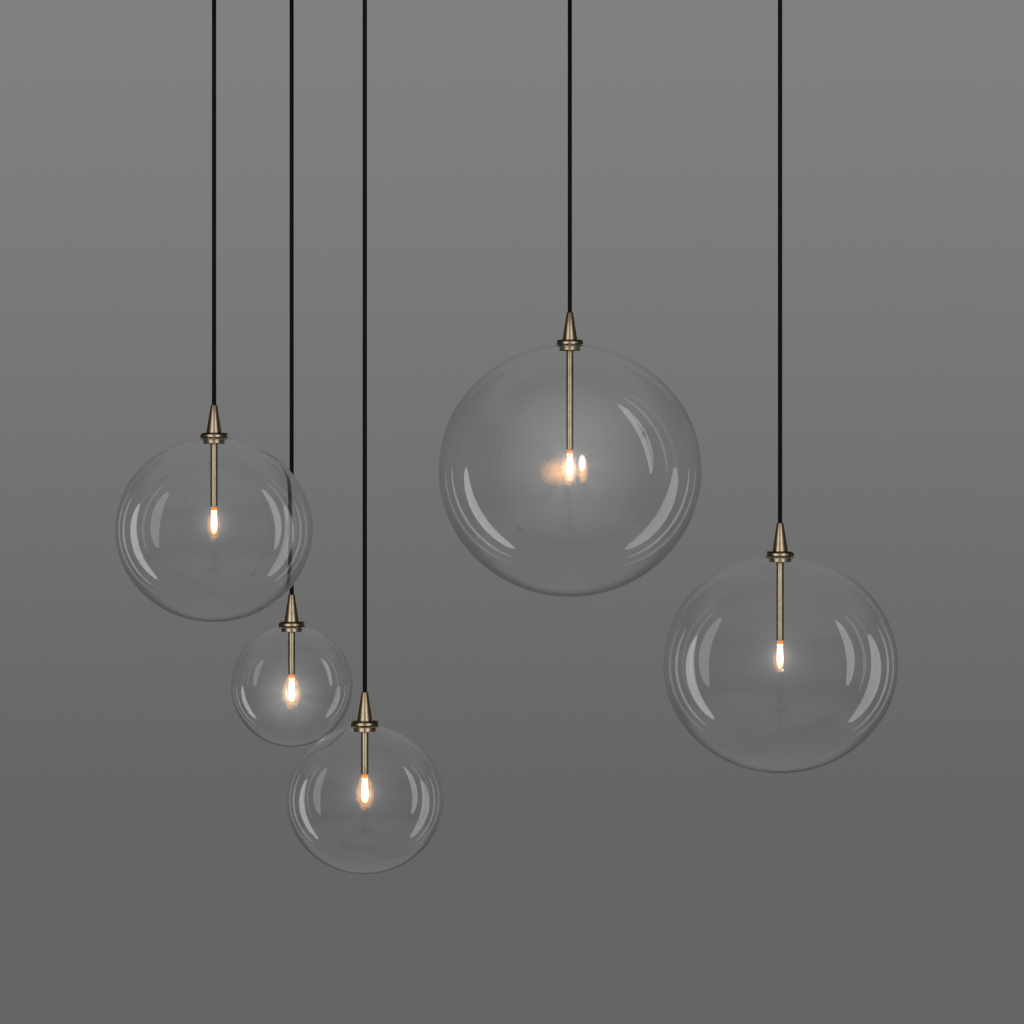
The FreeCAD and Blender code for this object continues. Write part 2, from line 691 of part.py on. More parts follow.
def make_cord(pendant):
    """The cord from its swing pivot in the gland down into the grip."""
    drop = f"dim.drop_{pendant}"
    cord = rod(f"cord_{pendant}_rod", CORD_RADIUS, f"{drop} + {PIVOT_Z} - {CORD_END}")
    hang(cord, pendant)
    bind(cord, Placement__Base__z=f"-{drop} + {CORD_END}")
    return node(cord, f"cord_{pendant}")


def make_cone(pendant):
    """The tapered brass cover that hides the cord grip and slides up the cord."""
    foot = cone_foot()
    corners = [
        (f"{foot} - dim.cone_wall", FLANGE_TOP),
        (foot, FLANGE_TOP),
        (CONE_NARROW, CONE_TOP),
        (CORD_HOLE, CONE_TOP),
    ]
    body = lathe(f"cone_{pendant}_cover", corners)
    rims = [(foot, FLANGE_TOP), (CONE_NARROW, CONE_TOP)]
    round_rims(body, f"cone_{pendant}_rims", rims, "dim.cone_edge")
    hang(body, pendant)
    return node(body, f"cone_{pendant}")


def make_grip(pendant):
    """The cord grip on the stem's end, its set screw, and the thin nut that clamps the flange."""
    bore = f"{CORD_RADIUS} + dim.grip_clearance"
    socket = f"{STEM_RADIUS} + dim.thread_clearance"
    skirt_top = f"{GRIP_FOOT} + dim.grip_skirt_height"
    top = f"{GRIP_FOOT} + dim.grip_height"
    stem_seat = f"{STEM_TOP} + dim.thread_clearance"
    skirt = f"{socket} + dim.grip_skirt_wall"
    body_radius = f"({bore} + dim.grip_wall)"
    corners = [
        (socket, GRIP_FOOT),
        (skirt, GRIP_FOOT),
        (skirt, skirt_top),
        (body_radius, skirt_top),
        (body_radius, top),
        (bore, top),
        (bore, stem_seat),
        (socket, stem_seat),
    ]
    clamp = lathe(f"grip_{pendant}_body", corners)
    screw_z = f"({skirt_top} + {top}) / 2"
    hole = doc.addObject("Part::Cylinder", f"grip_{pendant}_tapping")
    hole.Placement.Rotation = FreeCAD.Rotation(FreeCAD.Vector(0, 1, 0), 90)
    bind(hole, Radius="dim.grip_screw / 2", Height=f"2 * {body_radius}")
    place(hole, "0", "0", screw_z)
    tapped = cut(f"grip_{pendant}_tapped", clamp, hole)
    screw = doc.addObject("Part::Cylinder", f"grip_{pendant}_screw")
    screw.Placement.Rotation = FreeCAD.Rotation(FreeCAD.Vector(0, 1, 0), 90)
    screw_radius = "dim.grip_screw / 2 - dim.thread_clearance / 2"
    bind(screw, Radius=screw_radius, Height="dim.grip_wall")
    place(screw, bore, "0", screw_z)
    nut = hexagon_nut(f"stem_nut_{pendant}", STEM_RADIUS, z=BOSS_TOP)
    grip = group(f"grip_{pendant}_set", tapped, screw, nut)
    hang(grip, pendant)
    return node(grip, f"cord_grip_{pendant}")


def make_flange(pendant):
    """The brass flange that caps the glass, hollow below and with a boss for the cone."""
    bore = f"{STEM_RADIUS} + dim.thread_clearance"
    rim = "dim.flange_diameter / 2"
    boss = boss_radius()
    corners = [
        (bore, recess_depth(pendant)),
        (RECESS_RADIUS, recess_depth(pendant)),
        (RECESS_RADIUS, "0"),
        (rim, "0"),
        (rim, FLANGE_TOP),
        (boss, FLANGE_TOP),
        (boss, BOSS_TOP),
        (bore, BOSS_TOP),
    ]
    body = lathe(f"flange_{pendant}_turned", corners)
    round_rims(body, f"flange_{pendant}_rims", [(rim, "0"), (rim, FLANGE_TOP)], "dim.flange_edge")
    hang(body, pendant)
    return node(body, f"flange_{pendant}")


def make_seals(pendant):
    """Two soft rings, one on each side of the glass, shaped to its crown."""
    gap = "dim.seal_gap"
    inside = SEAL_INSIDE
    outside = f"({RECESS_RADIUS} - dim.seal_play)"
    low_outside = "(dim.retainer_diameter / 2 - dim.retainer_edge)"
    outer = crown_radius(pendant)
    inner = inner_crown(pendant)
    crown = glass_top(pendant)
    ceiling = recess_depth(pendant)
    upper = [
        (inside, f"{crown} - {fall(inside, outer)} + {gap}"),
        (outside, f"{crown} - {fall(outside, outer)} + {gap}"),
        (outside, ceiling),
        (inside, ceiling),
    ]
    under = f"{crown} - dim.glass_wall"
    lower = [
        (inside, retainer_top(pendant)),
        (low_outside, retainer_top(pendant)),
        (low_outside, f"{under} - {fall(low_outside, inner)} - {gap}"),
        (inside, f"{under} - {fall(inside, inner)} - {gap}"),
    ]
    top_ring = lathe(f"seal_{pendant}_upper", upper)
    low_ring = lathe(f"seal_{pendant}_lower", lower)
    seals = group(f"seals_{pendant}_pair", top_ring, low_ring)
    hang(seals, pendant)
    return node(seals, f"seals_{pendant}")


def make_retainer(pendant):
    """The split disc below the glass: two halves that pass the crown's hole one by one."""
    rim = "dim.retainer_diameter / 2"
    bore = f"{NECK_RADIUS} + dim.thread_clearance"
    top = retainer_top(pendant)
    foot = f"{top} - dim.retainer_height"
    body = lathe(f"retainer_{pendant}_disc", [(bore, foot), (rim, foot), (rim, top), (bore, top)])
    round_rims(body, f"retainer_{pendant}_rims", [(rim, foot), (rim, top)], "dim.retainer_edge")
    slit_length = "dim.retainer_diameter + 2 * dim.overcut"
    slit_height = "dim.retainer_height + 2 * dim.overcut"
    sides = ("dim.retainer_slit", slit_length, slit_height)
    slit = block(f"retainer_{pendant}_slit", *sides, "0", "0", f"{foot} - dim.overcut")
    halves = cut(f"retainer_{pendant}_halves", body, slit)
    hang(halves, pendant)
    return node(halves, f"retainer_{pendant}")


def make_stem(pendant):
    """The brass tube from the cord grip through the glass down to the lamp."""
    outer = STEM_RADIUS
    bore = "((dim.lead_pitch + dim.lead_diameter) / 2 + dim.lead_space)"
    pocket = f"{STEM_RADIUS} - dim.stem_lip"
    pocket_top = f"{stem_end(pendant)} + dim.holder_recess + dim.holder_height + dim.holder_space"
    neck_top = f"{retainer_top(pendant)} + dim.thread_clearance"
    neck_foot = f"{retainer_top(pendant)} - dim.retainer_height - dim.thread_clearance"
    end = stem_end(pendant)
    corners = [
        (pocket, end),
        (outer, end),
        (outer, neck_foot),
        (NECK_RADIUS, neck_foot),
        (NECK_RADIUS, neck_top),
        (outer, neck_top),
        (outer, STEM_TOP),
        (bore, STEM_TOP),
        (bore, pocket_top),
        (pocket, pocket_top),
    ]
    body = lathe(f"stem_{pendant}_tube", corners)
    hang(body, pendant)
    return node(body, f"stem_{pendant}")


def make_lampholder(pendant):
    """The ceramic lampholder in the stem's end, and the two leads up to the cord."""
    foot = f"({stem_end(pendant)} + dim.holder_recess)"
    top = f"({foot} + dim.holder_height)"
    ceramic = rod(f"holder_{pendant}_blank", HOLDER_RADIUS, "dim.holder_height", "0", "0", foot)
    holes = []
    leads = []
    for n, side in enumerate(("-", ""), 1):
        pin_x = f"{side}dim.pin_pitch / 2"
        depth = "dim.pin_hole_depth + dim.overcut"
        hole_name = f"holder_{pendant}_hole_{n}"
        mouth = f"{foot} - dim.overcut"
        holes.append(rod(hole_name, "dim.pin_hole / 2", depth, pin_x, "0", mouth))
        lead_x = f"{side}dim.lead_pitch / 2"
        length = f"{CORD_END} - dim.lead_gap - {top}"
        lead_name = f"holder_{pendant}_lead_{n}"
        leads.append(rod(lead_name, "dim.lead_diameter / 2", length, lead_x, "0", top))
    drilled = cut(f"holder_{pendant}_drilled", ceramic, group(f"holder_{pendant}_holes", *holes))
    holder = group(f"holder_{pendant}_set", drilled, *leads)
    hang(holder, pendant)
    return node(holder, f"lampholder_{pendant}")


def make_lamp(pendant):
    """The two-pin capsule lamp: glass capsule with its pinch, pins and filament."""
    top = lamp_top(pendant)
    pinch_foot = f"({top} - dim.pinch_height)"
    radius = "dim.capsule_diameter / 2"
    middle_length = "(dim.capsule_length - dim.capsule_diameter)"
    low = f"({pinch_foot} - dim.capsule_length + {radius})"
    overlap = f"{radius} / 2"
    sides = ("dim.pinch_width", "dim.pinch_thickness", f"dim.pinch_height + {overlap}")
    pinch = block(f"lamp_{pendant}_pinch", *sides, "0", "0", f"{pinch_foot} - {overlap}")
    skins = []
    for name, inset in (("outer", "0"), ("inner", "dim.capsule_wall")):
        barrel_name = f"lamp_{pendant}_{name}_barrel"
        barrel = rod(barrel_name, f"{radius} - {inset}", middle_length, "0", "0", low)
        ends = []
        for end, height in (("foot", low), ("top", f"{low} + {middle_length}")):
            ball = doc.addObject("Part::Sphere", f"lamp_{pendant}_{name}_{end}")
            bind(ball, Radius=f"{radius} - {inset}")
            place(ball, z=height)
            ends.append(ball)
        skins.append(fuse(f"lamp_{pendant}_{name}", barrel, *ends))
    glass = fuse(f"lamp_{pendant}_glass", skins[0], pinch)
    capsule = cut(f"lamp_{pendant}_capsule", glass, skins[1])
    pins = []
    for n, side in enumerate(("-", ""), 1):
        x = f"{side}dim.pin_pitch / 2"
        pin_name = f"lamp_{pendant}_pin_{n}"
        pins.append(rod(pin_name, "dim.pin_diameter / 2", "dim.pin_length", x, "0", top))
    centre = f"({low} + {middle_length} / 2)"
    coil_foot = f"{centre} - dim.filament_length / 2"
    coil_radius = "dim.filament_diameter / 2"
    coil = rod(f"lamp_{pendant}_coil", coil_radius, "dim.filament_length", "0", "0", coil_foot)
    lamp = group(f"lamp_{pendant}_set", capsule, coil, *pins)
    hang(lamp, pendant)
    return node(lamp, f"lamp_{pendant}")


def oval(body, name, pendant, inset, middle):
    """Half of a globe's outline: crown arc, side arc and foot arc, closed along the axis."""
    sketch = new_sketch(body, name, "XZ_Plane")
    crown = f"({crown_radius(pendant)} - {inset})"
    side = f"({side_radius(pendant)} - {inset})"
    half = f"({half_height(pendant)} - {inset})"
    rise = f"({crown} - {half})"
    reach = f"({half_width(pendant)} - {side_radius(pendant)})"
    z = size(middle)
    crown_centre = FreeCAD.Vector(0, z - size(rise), 0)
    foot_centre = FreeCAD.Vector(0, z + size(rise), 0)
    side_centre = FreeCAD.Vector(size(reach), z, 0)
    normal = FreeCAD.Vector(0, 0, 1)
    eighth = math.radians(45)
    crown_circle = Part.Circle(crown_centre, normal, size(crown))
    side_circle = Part.Circle(side_centre, normal, size(side))
    foot_circle = Part.Circle(foot_centre, normal, size(crown))
    sketch.addGeometry(Part.ArcOfCircle(crown_circle, eighth, 2 * eighth))
    sketch.addGeometry(Part.ArcOfCircle(side_circle, -eighth, eighth))
    sketch.addGeometry(Part.ArcOfCircle(foot_circle, -2 * eighth, -eighth))
    low = FreeCAD.Vector(0, z - size(half), 0)
    high = FreeCAD.Vector(0, z + size(half), 0)
    sketch.addGeometry(Part.LineSegment(low, high))
    for meeting in ((0, 1, 1, 2), (1, 1, 2, 2), (2, 1, 3, 1), (3, 2, 0, 2)):
        sketch.addConstraint(Sketcher.Constraint("Coincident", *meeting))
    hold(sketch, "DistanceX", 0, 3, "0")
    hold(sketch, "DistanceX", 1, 3, reach)
    hold(sketch, "DistanceY", 1, 3, middle)
    hold(sketch, "DistanceX", 2, 3, "0")
    hold(sketch, "DistanceX", 3, 1, "0")
    hold(sketch, "DistanceX", 3, 2, "0")
    hold(sketch, "DistanceX", 1, 1, f"{reach} + {side} * cos(45 deg)")
    hold(sketch, "DistanceX", 1, 2, f"{reach} + {side} * cos(45 deg)")
    for n, radius in ((0, crown), (1, side), (2, crown)):
        index = sketch.addConstraint(Sketcher.Constraint("Radius", n, size(radius)))
        sketch.setExpression(f"Constraints[{index}]", radius)
    return sketch


def make_globe(pendant):
    """A clear blown globe, slightly flattened, with one round hole in its crown.

    Taller than wide, its side arc would turn about a centre beyond the axis and cross itself.
    """
    if size(half_width(pendant)) <= size(half_height(pendant)):
        raise ValueError(f"globe_{pendant} has to be wider than it is tall")
    body = doc.addObject("PartDesign::Body", f"globe_{pendant}_glass")
    middle = f"({glass_top(pendant)} - {half_height(pendant)})"
    outside = oval(body, f"globe_{pendant}_outside", pendant, "0", middle)
    turned(body, f"globe_{pendant}_ball", "Revolution", outside)
    inside = oval(body, f"globe_{pendant}_inside", pendant, "dim.glass_wall", middle)
    turned(body, f"globe_{pendant}_hollow", "Groove", inside)
    hole = "dim.glass_hole / 2"
    high = f"{glass_top(pendant)} + dim.overcut"
    plug = [("0", middle), (hole, middle), (hole, high), ("0", high)]
    hole_outline = outline(body, f"globe_{pendant}_hole_outline", plug)
    turned(body, f"globe_{pendant}_hole", "Groove", hole_outline)
    hang(body, pendant)
    return node(body, f"globe_{pendant}")


def make_pendant(pendant):
    """All that hangs on one cord."""
    make_cord(pendant)
    make_cone(pendant)
    make_grip(pendant)
    make_flange(pendant)
    make_seals(pendant)
    make_retainer(pendant)
    make_stem(pendant)
    make_lampholder(pendant)
    make_lamp(pendant)
    make_globe(pendant)


# ---------------------------------------------------------------- checks and files

def check_document():
    """Every object computed, and every sub-part a valid shape with solids."""
    for thing in doc.Objects:
        for state in ("Invalid", "Error"):
            if state in thing.State:
                raise ValueError(f"{thing.Label} is {state}")
    for thing in nodes:
        shape = thing.Shape
        if shape.isNull() or not shape.isValid() or not shape.Solids:
            raise ValueError(f"{thing.Label} has no valid solid")


def print_cords():
    """Prints each cord's visible length and compares its volume with section times length."""
    section = math.pi * size(CORD_RADIUS) ** 2
    for thing in nodes:
        if thing.Label in CORDS:
            length = thing.Shape.BoundBox.ZLength
            ratio = thing.Shape.Volume / (section * length)
            print(thing.Label, "length", round(length, 1), "volume ratio", round(ratio, 4))
    print("bend radius of the tails in the pan", size(TAIL_BEND))


def write_parts():
    """Writes one file for each sub-part."""
    os.makedirs(PARTS_FOLDER, exist_ok=True)
    for thing in nodes:
        thing.Shape.exportStep(f"{PARTS_FOLDER}/{thing.Label}.step")
    print(len(nodes), "nodes written")


fill_sheet()
make_pan()
make_bracket()
make_studs_and_nuts()
make_grommet()
make_terminal_block()
make_transformer()
make_cord_exits()
for pendant_name in PENDANTS:
    make_pendant(pendant_name)
doc.recompute()
check_document()
print_cords()
write_parts()
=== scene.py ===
# %% [markdown]
# # Cluster pendant: five clear glass globes on black cords
#
# The imported model is loaded first, as a frame that is never moved. It gives the place and
# the size of every piece, so each new piece is modelled where the frame says. The box of
# the untouched frame is kept.

# %% Load the frame
import json
import math

import bpy
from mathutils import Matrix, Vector

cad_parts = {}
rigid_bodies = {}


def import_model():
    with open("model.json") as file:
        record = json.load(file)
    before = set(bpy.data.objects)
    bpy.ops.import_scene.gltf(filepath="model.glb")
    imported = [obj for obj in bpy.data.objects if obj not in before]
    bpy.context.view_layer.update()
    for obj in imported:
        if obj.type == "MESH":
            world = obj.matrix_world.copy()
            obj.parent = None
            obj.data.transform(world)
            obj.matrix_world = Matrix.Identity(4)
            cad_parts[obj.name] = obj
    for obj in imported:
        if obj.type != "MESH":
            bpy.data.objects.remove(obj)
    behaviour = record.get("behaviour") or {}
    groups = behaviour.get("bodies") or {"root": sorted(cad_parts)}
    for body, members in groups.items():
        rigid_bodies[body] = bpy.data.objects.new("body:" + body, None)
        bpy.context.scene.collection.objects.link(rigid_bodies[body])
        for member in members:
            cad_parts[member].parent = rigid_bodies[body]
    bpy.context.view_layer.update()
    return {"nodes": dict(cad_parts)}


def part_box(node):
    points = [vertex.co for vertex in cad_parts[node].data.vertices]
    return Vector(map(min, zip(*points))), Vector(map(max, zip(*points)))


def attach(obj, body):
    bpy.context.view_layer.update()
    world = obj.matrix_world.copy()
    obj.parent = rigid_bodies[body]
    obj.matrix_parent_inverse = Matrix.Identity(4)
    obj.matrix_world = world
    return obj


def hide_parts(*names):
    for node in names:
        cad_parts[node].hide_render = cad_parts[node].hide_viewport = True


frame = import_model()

MM = 0.001
PENDANTS = "abcde"

# %% [markdown]
# ## Where each pendant hangs
#
# Each pendant hangs on its own upright axis. The cord's box gives that axis and the heights
# of the cord's two ends, so no number has to be typed twice. Five letters name the pendants
# from left to right in the first view: a, b, c at the left, d in the middle, e at the right.

# %% Axes of the pendants
axis = {}
for p in PENDANTS:
    low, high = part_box(f"cord_{p}")
    axis[p] = ((low[0] + high[0]) / 2, (low[1] + high[1]) / 2)
    print(p, [round(v, 4) for v in axis[p]], round(high[2] - low[2], 4), "m of cord")

# %% [markdown]
# ## The camera
#
# A long lens on a level camera, five metres in front of the cluster, keeps all five cords
# upright and shows each globe from the side. The camera stands at the height of the
# cluster's middle.

# %% Camera
CAMERA_DISTANCE = 5.0
CAMERA_X, CAMERA_Z = 0.0224, -0.739
FRAME_WIDTH = 1.3005
SENSOR = 36.0

camera_data = bpy.data.cameras.new("long_lens")
camera_data.sensor_width = SENSOR
camera_data.lens = SENSOR * CAMERA_DISTANCE / FRAME_WIDTH
camera = bpy.data.objects.new("camera", camera_data)
camera.location = (CAMERA_X, -CAMERA_DISTANCE, CAMERA_Z)
camera.rotation_euler = (math.radians(90.0), 0.0, 0.0)
bpy.context.collection.objects.link(camera)
bpy.context.scene.camera = camera
bpy.context.scene.view_settings.view_transform = "Standard"
print("lens", round(camera_data.lens, 1), "mm")

# %% [markdown]
# ## Helpers for materials
#
# Every finish here is built from nodes, so a few small helpers keep the cells short. One
# fills in a node's inputs by name, and the others build on it: a sum, a product, the parts
# of a vector and a colour ramp.

# %% Node helpers
def fill(tree, node, **inputs):
    """Fills in a node's inputs by name, or by place as i0, i1: sockets are linked."""
    for name, value in inputs.items():
        name = name.replace("_", " ")
        by_place = name[0] == "i" and name[1:].isdigit()
        socket = node.inputs[int(name[1:])] if by_place else node.inputs[name]
        if isinstance(value, bpy.types.NodeSocket):
            tree.links.new(value, socket)
        else:
            socket.default_value = value
    return node


def add_node(tree, kind, **inputs):
    """A new node with its inputs filled in."""
    return fill(tree, tree.nodes.new(kind), **inputs)


def math_node(tree, operation, *values):
    """The result of one sum; its values are sockets or plain numbers."""
    node = tree.nodes.new("ShaderNodeMath")
    node.operation = operation
    return fill(tree, node, **{f"i{n}": v for n, v in enumerate(values)}).outputs[0]


def times(tree, first, second, plus=None):
    """Two values multiplied, and a third added if there is one."""
    if plus is None:
        return math_node(tree, "MULTIPLY", first, second)
    return math_node(tree, "MULTIPLY_ADD", first, second, plus)


def split_up(tree, vector):
    """The X, Y and Z of a vector."""
    return add_node(tree, "ShaderNodeSeparateXYZ", Vector=vector).outputs


def ramp(tree, factor, stops):
    """A colour ramp through (place, colour) stops."""
    node = add_node(tree, "ShaderNodeValToRGB", Fac=factor)
    elements = node.color_ramp.elements
    while len(elements) < len(stops):
        elements.new(0.5)
    for element, (place, colour) in zip(elements, sorted(stops)):
        element.position = place
        element.color = (*colour, 1.0)
    return node.outputs["Color"]


print("node helpers ready")

# %% [markdown]
# The next ones are for surfaces. Noise and a bump give a finish its fine relief. A material
# starts as one Principled shader, which stands for nearly every real surface, and its
# patterns lie in the piece's own coordinates, so that they move with the piece.

# %% Material helpers
def noise(tree, place, scale, detail, **more):
    """Soft noise from 0 to 1 at a place."""
    node = add_node(tree, "ShaderNodeTexNoise", Vector=place, Scale=scale, Detail=detail, **more)
    return node.outputs["Fac"]


def bump(tree, height, distance, strength):
    """The normal of a surface with this fine relief."""
    node = add_node(tree, "ShaderNodeBump", Height=height, Distance=distance, Strength=strength)
    return node.outputs["Normal"]


def new_material(name, **inputs):
    """A material whose Principled shader has its plain inputs set by name."""
    material = bpy.data.materials.new(name)
    material.use_nodes = True
    tree = material.node_tree
    return material, tree, fill(tree, tree.nodes["Principled BSDF"], **inputs)


def own_coordinates(tree, place=(0.0, 0.0, 0.0)):
    """Object coordinates, moved so that the pattern is centred on a place of the piece."""
    own = tree.nodes.new("ShaderNodeTexCoord").outputs["Object"]
    shift = [-v for v in place]
    return add_node(tree, "ShaderNodeMapping", Vector=own, Location=shift).outputs["Vector"]


def put_on(piece, material):
    """The material on all of a piece."""
    piece.data.materials.clear()
    piece.data.materials.append(material)


print("material helpers ready")

# %% [markdown]
# ## Shared effect: a braided textile
#
# The cords and their tails in the pan are covered with a tight braid: two sets of yarns that
# wind round the cord in opposite ways and pass over and under each other. The group below
# takes a point round the cord's axis and gives the height of the braid, so the same braid
# fits any round cord.

# %% Braid group
VECTOR, FLOAT = "NodeSocketVector", "NodeSocketFloat"
YARNS, RISE = 8.0, 260.0  # yarns round the cord, and turns of their pattern to a metre
FIBRES_IN_YARN, FIBRE_HEIGHT, YARN_FULLNESS = 4.0, 0.18, 0.6


def shader_group(name, inputs, outputs):
    """An empty node group; inputs and outputs are (name, kind, default) rows."""
    group = bpy.data.node_groups.new(name, "ShaderNodeTree")
    for way, rows in (("INPUT", inputs), ("OUTPUT", outputs)):
        for label, kind, default in rows:
            socket = group.interface.new_socket(name=label, in_out=way, socket_type=kind)
            if default is not None:
                socket.default_value = default
    return group, group.nodes.new("NodeGroupInput"), group.nodes.new("NodeGroupOutput")


braid, enter, leave = shader_group(
    "braid",
    [("Place", VECTOR, None), ("Yarns", FLOAT, YARNS), ("Rise", FLOAT, RISE)],
    [("Height", FLOAT, None)],
)
right, back, up = split_up(braid, enter.outputs["Place"])
turn_share = math_node(braid, "DIVIDE", math_node(braid, "ARCTAN2", back, right), math.tau)
around = times(braid, turn_share, enter.outputs["Yarns"])
along = times(braid, up, enter.outputs["Rise"])
waves, fibres = [], []
for sign in (1.0, -1.0):
    slanted = times(braid, along, sign, around)
    for found, count in ((waves, 1.0), (fibres, FIBRES_IN_YARN)):
        turns = times(braid, slanted, count * math.tau)
        found.append(math_node(braid, "SINE", turns))
crossing = times(braid, *waves)
over = math_node(braid, "GREATER_THAN", crossing, 0.0)
first = times(braid, fibres[0], over)
second = times(braid, fibres[1], math_node(braid, "SUBTRACT", 1.0, over))
fine = times(braid, math_node(braid, "ADD", first, second), FIBRE_HEIGHT)
swell = math_node(braid, "POWER", math_node(braid, "ABSOLUTE", crossing), YARN_FULLNESS)
fill(braid, leave, Height=math_node(braid, "ADD", swell, fine))
print("braid group has", len(braid.nodes), "nodes")

# %% [markdown]
# ## The cords
#
# Each cord is a round textile-covered cable of 5.5 mm, pulled straight by the pendant's
# weight. A cord could be a long cylinder, but a curve with a round bevel is what a cord is:
# one line with a thickness. Its three points are the cord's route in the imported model, from
# the pivot in the ceiling gland down to the grip inside the cone.

# %% Cord curves
CORD_DIAMETER = 5.5 * MM
# Yarn colours for painted shade: the first fills the low gaps between yarns, the second their
# raised crowns.
YARN_IN_SHADED_GAP, YARN_ON_LIT_CROWN = (0.001, 0.001, 0.0012), (0.011, 0.0105, 0.0105)


def use_group(tree, group, **inputs):
    """The outputs of a shared effect."""
    node = tree.nodes.new("ShaderNodeGroup")
    node.node_tree = group
    return fill(tree, node, **inputs).outputs


def black_textile(name, place):
    """Matte black braided cover, centred on its own cord's axis, with painted shade in the gaps
    between its yarns.
    """
    material, tree, shader = new_material(name, Roughness=0.9, Specular_IOR_Level=0.12)
    height = use_group(tree, braid, Place=own_coordinates(tree, place))["Height"]
    speck = noise(tree, own_coordinates(tree), 900.0, 3.0)
    # The colour follows the braid's height. Painted shade darkens the low gaps between the yarns,
    # so their crowns read lighter. Random specks vary it as well.
    shade = times(tree, height, 0.45, times(tree, speck, 0.5))
    colour = ramp(tree, shade, [(0.0, YARN_IN_SHADED_GAP), (1.0, YARN_ON_LIT_CROWN)])
    fill(tree, shader, Base_Color=colour, Normal=bump(tree, height, 0.25 * MM, 0.9))
    return material


for p in PENDANTS:
    low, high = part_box(f"cord_{p}")
    x, y = axis[p]
    route = [(x, y, high[2]), (x, y, (low[2] + high[2]) / 2), (x, y, low[2])]
    curve = bpy.data.curves.new(f"textile_cord_{p}", "CURVE")
    curve.dimensions = "3D"
    curve.bevel_depth = CORD_DIAMETER / 2
    curve.bevel_resolution = 8
    curve.resolution_u = 12
    curve.use_fill_caps = True
    line = curve.splines.new("NURBS")
    line.points.add(len(route) - 1)
    for point, place in zip(line.points, route):
        point.co = (*place, 1.0)
    line.order_u = 3
    line.use_endpoint_u = True
    piece = bpy.data.objects.new(f"textile_cord_{p}", curve)
    bpy.context.collection.objects.link(piece)
    put_on(piece, black_textile(f"black_textile_{p}", (x, y, 0.0)))
    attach(piece, f"hung_cord_{p}")
    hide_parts(f"cord_{p}")
    print(piece.name, round(high[2] - low[2], 4), "m")

# %% [markdown]
# ## The room: a grey backdrop that is only light
#
# Behind the lamp is a smooth grey studio backdrop, a little lighter at its top. A real wall
# would stand in the way of the views from behind, so the world itself is the backdrop: for
# the camera and for light that comes straight through glass, its grey depends on height
# alone. Metal and glass mirror the room. The brass is satin and mirrors a soft wall of
# light round the camera, with dark flags at both sides, which draw its dark edges, and less
# light from high up and low down. The glass mirrors sharply, and what it mirrors is a plain
# grey room, darker towards the floor. All that isn't mirrored gets an even, plain light.

# %% Light of the room
BACKDROP = [  # share of the view's height, grey out of 255
    (0.0, 100), (0.354, 101), (0.455, 109), (0.557, 117), (0.658, 124), (0.75, 128.5), (1.0, 133),
]
# Degrees round from the camera's side, and the light that is mirrored from there.
ROUND_METAL = [(0, 0.28), (30, 0.34), (50, 0.26), (66, 0.035), (180, 0.025)]
ROUND_GLASS = [(0, 0.185), (50, 0.185), (75, 0.13), (150, 0.125), (168, 0.165), (180, 0.185)]
# From straight below (0) to straight above (1), and the share of that light, out of 255.
METAL_RISE = [(0.0, 110), (0.25, 150), (0.40, 255), (0.62, 255), (0.80, 150), (1.0, 120)]
GLASS_RISE = [(0.0, 115), (0.20, 135), (0.36, 185), (0.46, 240), (0.6, 255)]
BLACK = (0.0, 0.0, 0.0)


def grey(level):
    """A neutral colour whose written value on the screen is level out of 255."""
    share = level / 255.0
    linear = share / 12.92 if share <= 0.04045 else ((share + 0.055) / 1.055) ** 2.4
    return (linear, linear, linear)


def blend_colour(tree, factor, first, second):
    """Mixes two colours by a factor; each is a socket or a plain colour."""
    node = tree.nodes.new("ShaderNodeMix")
    node.data_type = "RGBA"
    a, b = [v if isinstance(v, bpy.types.NodeSocket) else (*v, 1.0) for v in (first, second)]
    fill(tree, node, Factor=factor, A=a, B=b)
    return next(o for o in node.outputs if o.type == "RGBA")


def room_light(tree, around, rise, by_angle, by_height):
    """The room's light from one direction: by its angle, then dimmed by its height."""
    bright = ramp(tree, around, [(degrees / 180, (v, v, v)) for degrees, v in by_angle])
    share = ramp(tree, rise, [(place, grey(level)) for place, level in by_height])
    return blend_colour(tree, share, BLACK, bright)


print("backdrop from", BACKDROP[0][1], "to", BACKDROP[-1][1], "out of 255")

# %% [markdown]
# The world can tell how a ray of light got to it. A ray that comes straight from the camera
# or only through glass sees the backdrop, one that a matt surface sends out finds the even
# light, and a mirrored one finds the light for metal or for glass. Metal is satin, so its
# rays scatter, and those of polished glass don't, which keeps the two apart.

# %% World
EVEN_LIGHT = 0.62

world = bpy.data.worlds.new("grey_studio")
bpy.context.scene.world = world
world.use_nodes = True
room = world.node_tree
room.nodes.clear()
direction = room.nodes.new("ShaderNodeTexCoord").outputs["Generated"]
right, back, up = split_up(room, direction)
height = times(room, up, 2.0, 0.5)
backdrop = ramp(room, height, [(place, grey(level)) for place, level in BACKDROP])
sideways = math_node(room, "ARCTAN2", right, times(room, back, -1.0))
around = math_node(room, "DIVIDE", math_node(room, "ABSOLUTE", sideways), math.pi)
rise = times(room, up, 0.5, 0.5)

